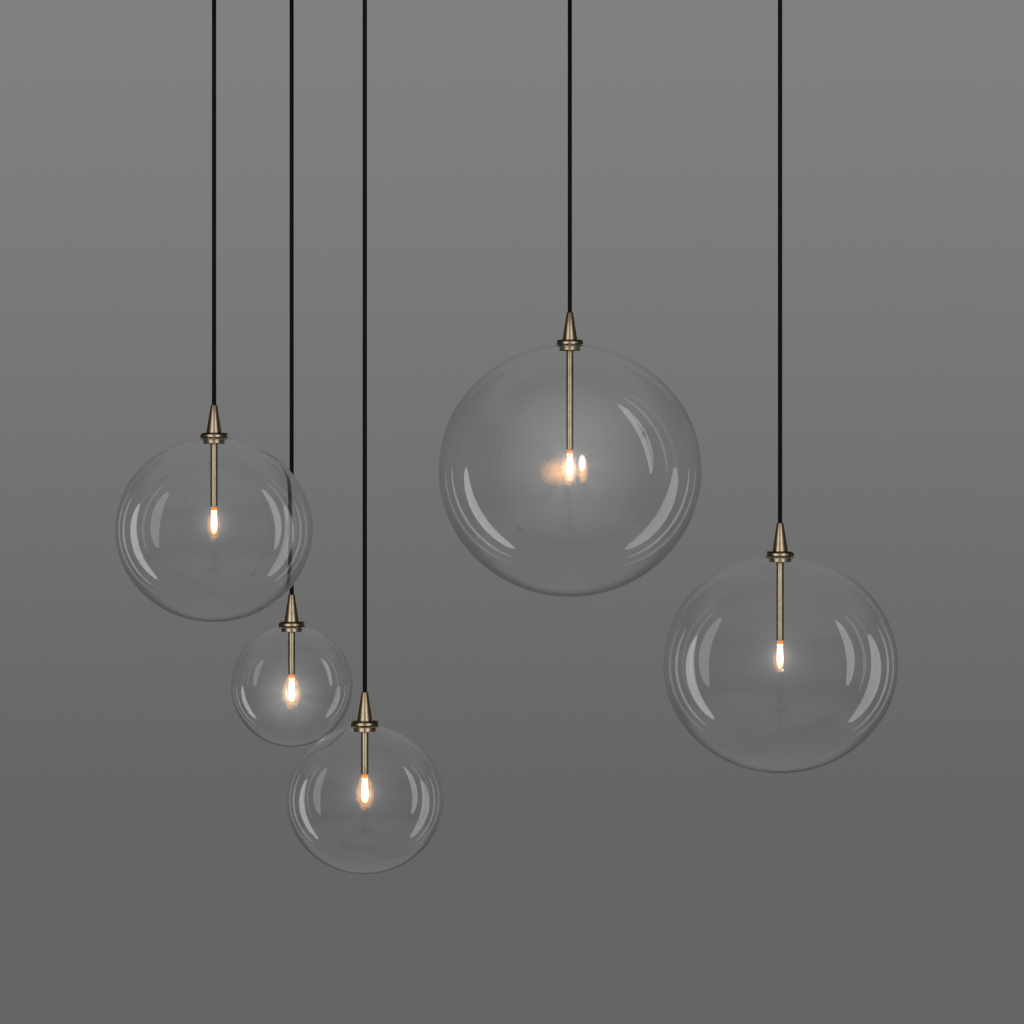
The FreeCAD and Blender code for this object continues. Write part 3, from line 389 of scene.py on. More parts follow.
path = room.nodes.new("ShaderNodeLightPath").outputs
no_mirror = math_node(room, "LESS_THAN", path["Glossy Depth"], 0.5)
no_matt = math_node(room, "LESS_THAN", path["Diffuse Depth"], 0.5)
only_bent = times(room, no_mirror, no_matt)
through = times(room, only_bent, path["Is Transmission Ray"])
straight = math_node(room, "MAXIMUM", path["Is Camera Ray"], through)
by_metal = room_light(room, around, rise, ROUND_METAL, METAL_RISE)
by_glass = room_light(room, around, rise, ROUND_GLASS, GLASS_RISE)
mirrored = blend_colour(room, path["Is Singular Ray"], by_metal, by_glass)
unseen = blend_colour(room, no_matt, (EVEN_LIGHT,) * 3, mirrored)
seen = blend_colour(room, straight, unseen, backdrop)
shining = add_node(room, "ShaderNodeBackground", Color=seen, Strength=1.0)
add_node(room, "ShaderNodeOutputWorld", Surface=shining.outputs[0])
print("world has", len(room.nodes), "nodes")

# %% [markdown]
# ## The floor
#
# The floor is a pale disc well below the lamp. It stays under the edge of the first view,
# fades out at its rim so that no hard line shows in the others, and can't be seen from
# below, so that someone can look up past it.

# %% Floor
FLOOR_Z = -2.6
FLOOR_RADIUS = 4.0
FADE_FROM, FADE_TO = 0.55 * FLOOR_RADIUS, 0.99 * FLOOR_RADIUS


def vector_node(tree, operation, *values):
    """The result of one sum with vectors."""
    node = tree.nodes.new("ShaderNodeVectorMath")
    node.operation = operation
    fill(tree, node, **{f"i{n}": v for n, v in enumerate(values)})
    return node.outputs["Value" if operation == "LENGTH" else "Vector"]


bpy.ops.mesh.primitive_circle_add(vertices=96, radius=FLOOR_RADIUS, fill_type="NGON",
                                  location=(0, 0, FLOOR_Z))
floor = bpy.context.object
floor.name = "studio_floor"
pale, tree, shader = new_material("pale_floor", Roughness=0.9)
spot = own_coordinates(tree)
mottle = ramp(tree, noise(tree, spot, 1.4, 4.0), [
    (0.3, (0.50, 0.50, 0.49)), (0.7, (0.56, 0.56, 0.55)),
])
edge = add_node(tree, "ShaderNodeMapRange", Value=vector_node(tree, "LENGTH", spot),
                From_Min=FADE_FROM, From_Max=FADE_TO, To_Min=1.0, To_Max=0.0)
from_below = tree.nodes.new("ShaderNodeNewGeometry").outputs["Backfacing"]
from_above = math_node(tree, "SUBTRACT", 1.0, from_below)
fill(tree, shader, Base_Color=mottle, Alpha=times(tree, edge.outputs["Result"], from_above))
put_on(floor, pale)
floor.visible_glossy = False
print("floor at", FLOOR_Z, "m")

# %% [markdown]
# ## A soft light from above
#
# One large soft light hangs above and in front of the cluster. A flat area light gives
# softer shadows than a point. It is left out of mirrored light, because metal and glass
# have the room and lights of their own to mirror.

# %% Soft light above
SOFT_LIGHT_PLACE = Vector((-0.8, -2.6, 1.6))
SOFT_LIGHT_AIM = Vector((0, 0, -0.8))
SOFT_LIGHT_WATTS = 60.0


def area_light(name, shape, size, watts, place, turned):
    """A soft flat light that the camera doesn't see."""
    data = bpy.data.lights.new(name, "AREA")
    data.shape = shape
    data.size, data.size_y = size
    data.energy = watts
    light = bpy.data.objects.new(name, data)
    light.location, light.rotation_euler = place, turned
    light.visible_camera = False
    bpy.context.collection.objects.link(light)
    return light


aim = (SOFT_LIGHT_AIM - SOFT_LIGHT_PLACE).to_track_quat("-Z", "Y").to_euler()
above = area_light("soft_box_above", "RECTANGLE", (2.6, 1.8), SOFT_LIGHT_WATTS,
                   SOFT_LIGHT_PLACE, aim)
above.visible_glossy = above.visible_transmission = False
print("soft light", SOFT_LIGHT_WATTS, "W")

# %% [markdown]
# ## Soft panels for the metal
#
# Turned brass looks like brass because of what it mirrors: bright bands with dark between
# and beside them. Two tall soft panels, left and right of the camera, give the two bands,
# and two behind the cluster do the same for someone who looks from there.

# %% Panels
PANEL_DISTANCE, PANEL_Z = 3.0, -0.75
PANELS = [  # degrees round from the camera's side, width, height, light
    ("front_left", -31.0, 1.7, 3.2, 0.62),
    ("front_right", 27.0, 1.2, 3.2, 0.72),
    ("back_left", 152.0, 1.3, 3.0, 0.34),
    ("back_right", -150.0, 1.6, 3.0, 0.30),
]
metal_panels = []
for name, degrees, width, height, strength in PANELS:
    angle = math.radians(degrees)
    place = (PANEL_DISTANCE * math.sin(angle), -PANEL_DISTANCE * math.cos(angle), PANEL_Z)
    panel = area_light(f"panel_{name}", "RECTANGLE", (width, height),
                       strength * math.pi * width * height, place, (math.pi / 2, 0.0, angle))
    panel.visible_diffuse = panel.visible_transmission = False
    metal_panels.append(panel)
print(len(metal_panels), "panels")

# %% [markdown]
# ## Working on one piece at a time
#
# Blender's operators work on what is selected, so these helpers select one piece, open and
# close its mesh, and leave every finished piece at the origin, as the frame's pieces are.

# %% Mesh helpers
def only(piece):
    """Makes one object the only selected and the active one."""
    bpy.ops.object.select_all(action="DESELECT")
    piece.select_set(True)
    bpy.context.view_layer.objects.active = piece


def settle(piece):
    """Leaves the object at the origin, unturned and unscaled, with its place in its mesh."""
    only(piece)
    bpy.ops.object.transform_apply(location=True, rotation=True, scale=True)


def open_mesh(piece):
    """Opens a piece for editing, with its whole mesh selected."""
    only(piece)
    bpy.ops.object.mode_set(mode="EDIT")
    bpy.ops.mesh.select_all(action="SELECT")


def close_mesh():
    """Ends the editing of a mesh."""
    bpy.ops.object.mode_set(mode="OBJECT")


print("mesh helpers ready")

# %% [markdown]
# ## Turning on a lathe
#
# Cone, flange, retainer and stem are turned brass. Each is a ring that is drawn up along its
# section: a circle of the first radius is extruded to the next height and resized to the
# next radius, and the last ring meets the first, so that the wall closes. A small bevel then
# breaks every sharp corner, as on real turned parts, where it catches the light.

# %% Lathe helpers
def turn_ring(name, centre, section, sides=96):
    """A closed turned ring: section holds (radius, height) points in order round the wall."""
    x, y = centre
    radius, z = section[0]
    bpy.ops.mesh.primitive_circle_add(vertices=sides, radius=radius, location=(x, y, z))
    piece = bpy.context.object
    piece.name = name
    open_mesh(piece)
    for (r0, z0), (r1, z1) in zip(section, section[1:] + section[:1]):
        bpy.ops.mesh.extrude_edges_move(TRANSFORM_OT_translate={"value": (0, 0, z1 - z0)})
        bpy.ops.transform.resize(value=(r1 / r0, r1 / r0, 1.0), center_override=(x, y, z1))
    bpy.ops.mesh.select_all(action="SELECT")
    bpy.ops.mesh.remove_doubles(threshold=1e-6)
    bpy.ops.mesh.normals_make_consistent(inside=False)
    close_mesh()
    settle(piece)
    return piece


def break_edges(piece, width, segments=3, angle=25.0):
    """Rounds every corner sharper than angle, then shades the rest smooth."""
    only(piece)
    bevel = piece.modifiers.new("edges", "BEVEL")
    bevel.width = width
    bevel.segments = segments
    bevel.limit_method = "ANGLE"
    bevel.angle_limit = math.radians(angle)
    bpy.ops.object.modifier_apply(modifier=bevel.name)
    bpy.ops.object.shade_smooth_by_angle(angle=math.radians(40.0))


print("lathe ready")

# %% [markdown]
# ## Shared effect: turned and satin-brushed metal
#
# A turned part keeps fine rings from the tool, all round its axis, and a satin finish lays
# short scratches over them. The group takes a place centred on the part's axis and gives the
# height of these lines, a slow mask of tarnish and small flecks of wear. The rings follow
# both the height and the distance from the axis, so that flat faces get them as well as
# round ones.

# %% Turned grain group
RING_PITCH = 0.4 * MM
grain, enter, leave = shader_group(
    "turned_grain",
    [("Place", VECTOR, None), ("Ring Pitch", FLOAT, RING_PITCH), ("Tarnish Scale", FLOAT, 60.0)],
    [("Height", FLOAT, None), ("Tarnish", FLOAT, None), ("Wear", FLOAT, None)],
)
place = enter.outputs["Place"]
right, back, up = split_up(grain, place)
squares = [times(grain, v, v) for v in (right, back)]
across = math_node(grain, "SQRT", math_node(grain, "ADD", *squares))
ring_place = add_node(grain, "ShaderNodeCombineXYZ", X=across, Y=up).outputs[0]
ring_scale = math_node(grain, "DIVIDE", 1.0, enter.outputs["Ring Pitch"])
rings = noise(grain, ring_place, ring_scale, 3.0, Roughness=0.65)
rings.node.noise_dimensions = "2D"
slow = noise(grain, place, enter.outputs["Tarnish Scale"], 5.0, Roughness=0.6)
flecks = noise(grain, place, 700.0, 2.0)
fill(grain, leave, Height=times(grain, flecks, 0.25, rings),
     Tarnish=slow, Wear=math_node(grain, "GREATER_THAN", flecks, 0.66))
print("grain group has", len(grain.nodes), "nodes")

# %% [markdown]
# ## Satin brass
#
# Lacquered satin brass: a metal with a warm yellow colour, a roughness of about a quarter,
# and very fine rings. Tarnish makes it a little darker and rougher in slow clouds. Each
# pendant has its own copy, because the rings are centred on its own axis.

# %% Brass
BRASS_LIGHT = (0.81, 0.65, 0.445)
BRASS_DARK = (0.66, 0.51, 0.315)
BRASS_ROUGHNESS = 0.14
ROUGHER_BY_TARNISH, ROUGHER_BY_WEAR = 0.16, 0.06


def satin_brass(name, place):
    """Turned brass whose rings run round an upright axis through place."""
    material, tree, shader = new_material(name, Metallic=1.0)
    made = use_group(tree, grain, Place=own_coordinates(tree, place))
    tarnish, wear = made["Tarnish"], made["Wear"]
    rough = times(tree, tarnish, ROUGHER_BY_TARNISH, BRASS_ROUGHNESS)
    fill(tree, shader, Base_Color=ramp(tree, tarnish, [(0.30, BRASS_LIGHT), (0.75, BRASS_DARK)]),
         Roughness=times(tree, wear, ROUGHER_BY_WEAR, rough),
         Normal=bump(tree, made["Height"], 0.01 * MM, 0.6))
    return material


brass = {p: satin_brass(f"satin_brass_{p}", (*axis[p], 0.0)) for p in PENDANTS}
print(len(brass), "brass finishes")

# %% [markdown]
# ## The cones
#
# The slim cone hides the cord's grip and slides up the cord when it is opened. All five are
# the same, so the first is turned and the others are copies at their own places.

# %% Cones
CONE_FOOT, CONE_TOP = 10.4 * MM, 4.45 * MM
CONE_WALL = 1.2 * MM
CORD_HOLE = 3.25 * MM


def copy_to(piece, name, shift):
    """A copy with a mesh of its own, moved by shift."""
    twin = piece.copy()
    twin.data = piece.data.copy()
    twin.name = name
    bpy.context.collection.objects.link(twin)
    only(twin)
    bpy.ops.transform.translate(value=shift)
    settle(twin)
    return twin


low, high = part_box("cone_a")
first_cone = turn_ring("cone_a_turned", axis["a"], [
    (CONE_FOOT - CONE_WALL, low[2]), (CONE_FOOT, low[2]),
    (CONE_TOP, high[2]), (CORD_HOLE, high[2]),
])
break_edges(first_cone, 0.5 * MM, segments=4, angle=30.0)
cones = {"a": first_cone}
for p in PENDANTS[1:]:
    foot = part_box(f"cone_{p}")[0][2]
    shift = Vector((*axis[p], foot)) - Vector((*axis["a"], low[2]))
    cones[p] = copy_to(first_cone, f"cone_{p}_turned", shift)
for p, piece in cones.items():
    put_on(piece, brass[p])
    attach(piece, f"cone_cover_{p}")
    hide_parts(f"cone_{p}")
print(len(first_cone.data.polygons), "faces on a cone")

# %% [markdown]
# ## The flanges
#
# A flat brass cap with a full, rounded rim sits on each globe's crown. Below it is hollow,
# so that only its rim comes down over the glass, and a low boss on top centres the cone.
# Each hollow follows its own globe's crown, so the five are turned one by one.

# %% Flanges
RECESS_RADIUS, BORE = 17.0 * MM, 5.1 * MM
FLANGE_HEIGHT, BOSS_HEIGHT, BOSS_RADIUS = 6.5 * MM, 1.2 * MM, 8.5 * MM
UPPER_SEAL = 0.9 * MM
RIM = [  # radius and height over the flange's foot, in millimetres
    (17.6, 0.0), (18.15, 0.45), (18.45, 1.2), (18.5, 2.2), (18.5, 3.2),
    (18.3, 4.3), (17.75, 5.25), (16.9, 6.0), (15.6, 6.4), (14.2, 6.5),
]

for p in PENDANTS:
    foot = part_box(f"flange_{p}")[0][2]
    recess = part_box(f"globe_{p}")[1][2] + UPPER_SEAL
    top = foot + FLANGE_HEIGHT
    piece = turn_ring(f"flange_{p}_turned", axis[p], [
        (BORE, recess), (RECESS_RADIUS, recess), (RECESS_RADIUS, foot),
        *[(r * MM, foot + h * MM) for r, h in RIM],
        (BOSS_RADIUS, top), (BOSS_RADIUS, top + BOSS_HEIGHT), (BORE, top + BOSS_HEIGHT),
    ])
    break_edges(piece, 0.3 * MM, segments=3, angle=50.0)
    put_on(piece, brass[p])
    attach(piece, f"pendant_{p}")
    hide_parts(f"flange_{p}")
print(len(piece.data.polygons), "faces on a flange")

# %% [markdown]
# ## The split retainers
#
# Inside the globe a brass disc carries the glass. It is wider than the hole in the crown, so
# it is made in two halves that go in one by one and close round the stem's neck. Here the
# disc is turned whole, then cut twice beside its middle, as a saw would.

# %% Retainers
RETAINER_RADIUS, NECK_BORE, SLIT = 14.5 * MM, 4.1 * MM, 0.6 * MM


def cut_away(piece, place, normal):
    """Keeps the part of a piece behind a plane and closes the cut."""
    open_mesh(piece)
    bpy.ops.mesh.bisect(plane_co=place, plane_no=normal, use_fill=True, clear_outer=True)
    close_mesh()


for p in PENDANTS:
    low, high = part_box(f"retainer_{p}")
    x, y = axis[p]
    left = turn_ring(f"retainer_{p}_halves", axis[p], [
        (NECK_BORE, low[2]), (RETAINER_RADIUS, low[2]),
        (RETAINER_RADIUS, high[2]), (NECK_BORE, high[2]),
    ])
    right = copy_to(left, f"retainer_{p}_right", (0, 0, 0))
    cut_away(left, (x - SLIT / 2, y, low[2]), (1, 0, 0))
    cut_away(right, (x + SLIT / 2, y, low[2]), (-1, 0, 0))
    only(left)
    right.select_set(True)
    bpy.ops.object.join()
    break_edges(left, 0.3 * MM, segments=3, angle=35.0)
    put_on(left, brass[p])
    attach(left, f"pendant_{p}")
    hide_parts(f"retainer_{p}")
print(len(left.data.polygons), "faces on a retainer")

# %% [markdown]
# ## The stems
#
# A brass tube of 10 mm runs from the cone down into the globe and holds the lamp. It has a
# narrow neck where the retainer closes round it, and a pocket in its lower end for the
# ceramic lampholder. The stems differ in length, so each is turned from its own box.

# %% Stems
STEM_RADIUS, NECK_RADIUS, LEAD_BORE, POCKET = 5.0 * MM, 4.0 * MM, 3.0 * MM, 4.3 * MM
POCKET_DEPTH = 13.0 * MM
NECK_PLAY = 0.1 * MM

for p in PENDANTS:
    low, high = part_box(f"stem_{p}")
    neck_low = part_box(f"retainer_{p}")[0][2] - NECK_PLAY
    neck_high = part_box(f"retainer_{p}")[1][2] + NECK_PLAY
    piece = turn_ring(f"stem_{p}_turned", axis[p], [
        (POCKET, low[2]), (STEM_RADIUS, low[2]), (STEM_RADIUS, neck_low),
        (NECK_RADIUS, neck_low), (NECK_RADIUS, neck_high), (STEM_RADIUS, neck_high),
        (STEM_RADIUS, high[2]), (LEAD_BORE, high[2]),
        (LEAD_BORE, low[2] + POCKET_DEPTH), (POCKET, low[2] + POCKET_DEPTH),
    ])
    break_edges(piece, 0.25 * MM, segments=3, angle=35.0)
    put_on(piece, brass[p])
    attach(piece, f"pendant_{p}")
    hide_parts(f"stem_{p}")
print(len(piece.data.polygons), "faces on a stem")

# %% [markdown]
# ## Clear glass
#
# The globes are clear blown glass with a thin wall, so both faces of the wall are
# modelled: light bends into the wall, out of it, and mirrors on each face. A very faint
# unevenness, as blown glass has, keeps the highlights from being ruled lines, and the wall
# takes a trace of light, which only shows at the rim, where one looks along it.
# Light passes the glass unbent in three cases: on its way from a lamp to what the globe
# holds, when the satin brass mirrors it, and when it was mirrored further off, so that one
# globe doesn't cut up the highlights of the next. Towards the crown the wall hardly shows,
# so there it bends and mirrors less.

# %% Glass
GLASS_TINT = [(0.2, (0.985, 0.990, 0.990)), (0.8, (1.0, 1.0, 1.0))]
GLASS_IN_DEPTH = (0.72, 0.78, 0.76, 1.0)
FULL_BEND, CROWN_BEND = 1.5, 1.06
FADE_START, FADE_END = 0.03, 0.42  # below the crown, as shares of the globe's half width


def clear_glass(name, place, far, unevenness=0.4 * MM, absorb=1.0):
    """Blown glass: place centres its unevenness, far is where mirrored light passes it."""
    material, tree, shader = new_material(
        name, Roughness=0.0, IOR=FULL_BEND, Transmission_Weight=1.0)
    wave = noise(tree, own_coordinates(tree, place), 9.0, 1.0)
    fill(tree, shader, Base_Color=ramp(tree, wave, GLASS_TINT),
         Normal=bump(tree, wave, unevenness, 1.0))
    path = tree.nodes.new("ShaderNodeLightPath").outputs
    mirrored = math_node(tree, "GREATER_THAN", path["Glossy Depth"], 0.5)
    from_far = math_node(tree, "GREATER_THAN", path["Ray Length"], far)
    from_satin = math_node(tree, "SUBTRACT", 1.0, path["Is Singular Ray"])
    either = math_node(tree, "MAXIMUM", from_far, from_satin)
    passing = times(tree, mirrored, either)
    let_in = math_node(tree, "MAXIMUM", path["Is Shadow Ray"], passing)
    clear = tree.nodes.new("ShaderNodeBsdfTransparent").outputs["BSDF"]
    wall = add_node(tree, "ShaderNodeMixShader", Fac=let_in, i1=shader.outputs["BSDF"], i2=clear)
    out = fill(tree, tree.nodes["Material Output"], Surface=wall.outputs["Shader"])
    if absorb:
        body = add_node(tree, "ShaderNodeVolumeAbsorption", Color=GLASS_IN_DEPTH, Density=absorb)
        fill(tree, out, Volume=body.outputs["Volume"])
    return material


def bend_less_at_crown(material, crown, half_width):
    """Lets a globe's glass bend and mirror less, the nearer it is to its crown."""
    tree = material.node_tree
    above_crown = split_up(tree, own_coordinates(tree, crown))["Z"]
    below_crown = times(tree, above_crown, -1.0)
    fading = add_node(tree, "ShaderNodeMapRange", Value=below_crown,
                      From_Min=FADE_START * half_width, From_Max=FADE_END * half_width,
                      To_Min=CROWN_BEND, To_Max=FULL_BEND)
    fading.interpolation_type = "SMOOTHSTEP"
    fill(tree, tree.nodes["Principled BSDF"], IOR=fading.outputs["Result"])


print("glass ready")

# %% [markdown]
# ## The globes
#
# A ball is added at the globe's middle and resized to its oval, which is a little wider than
# tall. Its crown is cut off where the hole is, and Solidify gives the wall inwards, so that
# the outside keeps its size. A small bevel stands for the fire-polished rim of the hole.

# %% Globes
GLASS_WALL = 1.3 * MM
HOLE_RADIUS = 10.0 * MM
FAR_SHARE = 0.6
globes = {}


def oval_height(width, cut_height):
    """The full oval's height, when its cut at the hole leaves cut_height."""
    height = cut_height
    for _ in range(8):  # the crown's part depends on the full height, and settles soon
        crown_part = height / 2 * (1.0 - math.sqrt(1.0 - (HOLE_RADIUS / (width / 2)) ** 2))
        height = cut_height + crown_part
    return height


for p in PENDANTS:
    low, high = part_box(f"globe_{p}")
    x, y = axis[p]
    width = high[0] - low[0]
    height = oval_height(width, high[2] - low[2])
    middle = Vector((x, y, low[2] + height / 2))
    crown = (x, y, high[2])
    bpy.ops.mesh.primitive_uv_sphere_add(segments=128, ring_count=96, radius=0.5, location=middle)
    globe = bpy.context.object
    globe.name = f"globe_{p}_blown"
    open_mesh(globe)
    bpy.ops.transform.resize(value=(width, width, height), center_override=middle)
    bpy.ops.mesh.bisect(plane_co=crown, plane_no=(0, 0, 1), clear_outer=True)
    close_mesh()
    settle(globe)
    wall = globe.modifiers.new("wall", "SOLIDIFY")
    wall.thickness = GLASS_WALL
    wall.offset = -1.0
    bpy.ops.object.modifier_apply(modifier=wall.name)
    break_edges(globe, 0.4 * MM, segments=3, angle=50.0)
    glass = clear_glass(f"clear_glass_{p}", middle, FAR_SHARE * width / 2)
    bend_less_at_crown(glass, crown, width / 2)
    put_on(globe, glass)
    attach(globe, f"pendant_{p}")
    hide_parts(f"globe_{p}")
    globes[p] = (globe, middle)
    print(globe.name, round(width, 4), round(height, 4), len(globe.data.polygons), "faces")

# %% [markdown]
# ## The panels leave out the glass
#
# The broad panels would lie on the globes as pale sheets, and the photographed glass has
# none. A list of the pieces that they do light keeps the globes out.

# %% Panels leave out the glass
glass_pieces = [globe for globe, _ in globes.values()]
not_glass = bpy.data.collections.new("lit_by_panels")
for piece in bpy.context.scene.objects:
    if piece.type in {"MESH", "CURVE"} and piece not in glass_pieces:
        not_glass.objects.link(piece)
for panel in metal_panels:
    panel.light_linking.receiver_collection = not_glass

# %% [markdown]
# ## Strip lights for the glass
#
# Clear glass is drawn by what it mirrors. Here every globe mirrors a pair of tall, narrow
# soft lights that stand close to its left and right, as a photographer places them, and
# two thinner pairs further back, which draw the fine lines near the rim. They
# are lights of their own for each globe, and light nothing but that globe. Looking straight
# through the glass, they stay unseen: they only shine once a ray has been mirrored. On the
# largest globe the right-hand ones are mirrored by its front alone, as in the first view.

# %% Strip lights
STRIPS = {  # from the globe's middle: out to the side, down and up, in metres
    "a": (0.415, -0.40, 0.16), "b": (0.262, -0.245, 0.0), "c": (0.322, -0.30, 0.125),
    "d": (0.562, -0.86, 0.02), "e": (0.484, -0.46, 0.19),
}
WIDTHS_FIT = 0.484  # the distance to the side for which the widths below are given
AROUND = [  # degrees from straight behind, widths and lights of the left and the right one
    (90.0, (0.105, 0.140), (1.75, 1.10)),
    (69.0, (0.040, 0.040), (0.65, 0.55)),
    (55.0, (0.045, 0.045), (0.22, 0.22)),
]
FRONT_ALONE = 1.9  # how much brighter a strip is that only the front mirrors


def mirrored_only(light_data, strength, on_front_only):
    """Lets a light shine only on rays that have been mirrored at least once."""
    light_data.use_nodes = True
    tree = light_data.node_tree
    path = tree.nodes.new("ShaderNodeLightPath").outputs
    mirrored = math_node(tree, "GREATER_THAN", path["Glossy Depth"], 0.5)
    factor = times(tree, mirrored, strength)
    if on_front_only:
        outside = math_node(tree, "LESS_THAN", path["Transmission Depth"], 1.5)
        brighter = times(tree, outside, FRONT_ALONE)
        factor = times(tree, factor, brighter)
    fill(tree, tree.nodes["Emission"], Strength=factor)


for p in PENDANTS:
    apart, down, up = STRIPS[p]
    globe, middle = globes[p]
    only_this = bpy.data.collections.new(f"lit_by_strips_{p}")
    only_this.objects.link(globe)
    for n, (degrees, widths, strengths) in enumerate(AROUND):
        angle = math.radians(degrees)
        for side, sign, width, strength in zip(("left", "right"), (-1.0, 1.0), widths, strengths):
            size = (up - down, width * apart / WIDTHS_FIT)
            out = Vector((sign * math.sin(angle), math.cos(angle), 0.0))
            place = middle + apart * out + Vector((0.0, 0.0, (up + down) / 2))
            strip = area_light(f"strip_{side}_{n}_{p}", "ELLIPSE", size,
                               math.pi * size[0] * size[1] * math.pi / 4, place,
                               (0.0, math.pi / 2, math.atan2(out.y, out.x)))
            mirrored_only(strip.data, strength, on_front_only=(p == "d" and side == "right"))
            strip.visible_diffuse = False
            strip.light_linking.receiver_collection = only_this
print(len(AROUND) * 2 * len(PENDANTS), "strip lights")

# %% [markdown]
# ## The lamps
#
# Each stem ends in a small two-pin capsule lamp: a clear glass capsule with a flat pinch, two
# pins that go up into the lampholder, thin foils in the pinch, and a hot coil. The capsule
# is drawn up ring by ring, like glass tube in a flame, and pressed flat for its pinch. A
# second, smaller ball of rings inside it, turned inside out, is the hollow with its gas.

# %% Capsule
# Rings of the shell and of its hollow are (radius, height), those of the flat pinch are
# (half width, half depth, height), all in millimetres from the lamp's foot.
SHELL = [
    (0.5, 0.0), (2.6, 0.6), (4.3, 1.8), (5.4, 3.5), (5.9, 5.2),
    (6.0, 7.0), (6.0, 26.5), (5.7, 28.0), (4.9, 29.3),
]
PINCH = [(4.2, 1.7, 30.2), (4.3, 1.7, 31.0), (4.3, 1.7, 36.4), (4.0, 1.45, 37.0)]
HOLLOW = [
    (0.5, 1.0), (2.2, 1.5), (3.7, 2.6), (4.6, 4.2), (5.0, 6.4),
    (5.0, 26.3), (4.6, 27.7), (3.2, 28.8), (0.6, 29.3),
]


def draw_up(name, centre, foot, rings, flat=(), sides=48):
    """A closed ball of round rings, and then of flat ones."""
    x, y = centre
    rows = [(r, r, h) for r, h in rings] + list(flat)
    bpy.ops.mesh.primitive_circle_add(vertices=sides, radius=rows[0][0] * MM, fill_type="NGON",
                                      location=(x, y, foot + rows[0][2] * MM))
    piece = bpy.context.object
    piece.name = name
    open_mesh(piece)
    for (w0, d0, h0), (w1, d1, h1) in zip(rows, rows[1:]):
        rise = (0, 0, (h1 - h0) * MM)
        bpy.ops.mesh.extrude_region_move(TRANSFORM_OT_translate={"value": rise})
        bpy.ops.transform.resize(value=(w1 / w0, d1 / d0, 1.0),
                                 center_override=(x, y, foot + h1 * MM))
    bpy.ops.mesh.select_all(action="SELECT")
    bpy.ops.mesh.normals_make_consistent(inside=False)
    close_mesh()
    settle(piece)
    bpy.ops.object.shade_smooth_by_angle(angle=math.radians(50.0))
    return piece


low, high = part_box("lamp_a")
lamp_foot, lamp_top = low[2], high[2]
capsule = draw_up("capsule_a", axis["a"], lamp_foot, SHELL, PINCH)
hollow = draw_up("hollow", axis["a"], lamp_foot, HOLLOW)
open_mesh(hollow)
bpy.ops.mesh.flip_normals()
close_mesh()
only(capsule)
hollow.select_set(True)
bpy.ops.object.join()
print("capsule", round(capsule.dimensions.z, 4), "m")

# %% [markdown]
# ## Inside the capsule
#
# The pins, foils and coil are thin metal. The coil is a small ring of wire that the Screw
# modifier winds upwards, which is how a coil is wound. Pins and foils are a rod and a strip
# with broken edges.

# %% Pins, foils and coil
PIN_LENGTH, PIN_RADIUS, PIN_PITCH = 8.5 * MM, 0.35 * MM, 4.0 * MM
PIN_IN_PINCH = 1.5 * MM
FOIL_SIZE, FOIL_BELOW_TOP = (1.9 * MM, 0.08 * MM, 4.0 * MM), 3.4 * MM
COIL_LOW, COIL_HIGH, COIL_RADIUS = 10.0 * MM, 24.0 * MM, 0.8 * MM
WIRE, TURNS = 0.14 * MM, 16

metal_bits = []
ax, ay = axis["a"]
pinch_top = lamp_top - PIN_LENGTH
for side in (-1, 1):
    px = ax + side * PIN_PITCH / 2
    bpy.ops.mesh.primitive_cylinder_add(
        vertices=20, radius=PIN_RADIUS, depth=PIN_LENGTH + PIN_IN_PINCH,
        location=(px, ay, pinch_top + (PIN_LENGTH - PIN_IN_PINCH) / 2))
    pin = bpy.context.object
    settle(pin)
    break_edges(pin, 0.15 * MM)
    bpy.ops.mesh.primitive_cube_add(
        size=1.0, location=(px, ay, pinch_top - FOIL_BELOW_TOP), scale=FOIL_SIZE)
    foil = bpy.context.object
    settle(foil)
    break_edges(foil, 0.02 * MM, segments=2)
    metal_bits += [pin, foil]

bpy.ops.mesh.primitive_circle_add(
    vertices=8, radius=WIRE, location=(ax, ay, lamp_foot + COIL_LOW), rotation=(math.pi / 2, 0, 0))
coil = bpy.context.object
bpy.ops.object.transform_apply(location=False, rotation=True, scale=True)
open_mesh(coil)
bpy.ops.transform.translate(value=(COIL_RADIUS, 0, 0))
close_mesh()
winding = coil.modifiers.new("winding", "SCREW")
winding.iterations = TURNS
winding.screw_offset = (COIL_HIGH - COIL_LOW) / TURNS
winding.steps = winding.render_steps = 16
bpy.ops.object.modifier_apply(modifier=winding.name)
settle(coil)
bpy.ops.object.shade_smooth()
metal_bits.append(coil)

only(metal_bits[0])
for bit in metal_bits[1:]:
    bit.select_set(True)
bpy.ops.object.join()
metal = bpy.context.object
metal.name = "lamp_metal_a"
print(len(metal.data.polygons), "faces on pins, foils and coil")

# %% [markdown]
# When the lamp is lit, its whole inside glares white up to the stem, and the coil is lost in
# it. So a bright core is drawn up round the coil and through the pinch, ring by ring like
# the capsule.

# %% Bright core
CORE = [
    (0.3, 2.2), (1.0, 2.6), (2.0, 4.2), (2.9, 6.4), (3.7, 9.5),
    (3.9, 13.0), (3.8, 18.0), (3.5, 23.0), (3.4, 28.0),
]
CORE_IN_PINCH = [(3.4, 1.2, 30.4), (3.4, 1.1, 36.6)]
core = draw_up("lamp_core_a", axis["a"], lamp_foot, CORE, CORE_IN_PINCH)
print("core is", round(core.dimensions.z, 4), "m tall")

# %% [markdown]
# ## Finishes of the lamp
#
# The pins, foils and coil are bare molybdenum and tungsten. The core only gives light: warm
# white, with two dim turns of the coil showing, and orange at its foot and in the pinch,
# where it is less hot. The glass round it glares a little in orange. None of this is
# mirrored, so that the globes don't fill with images of their lamps.

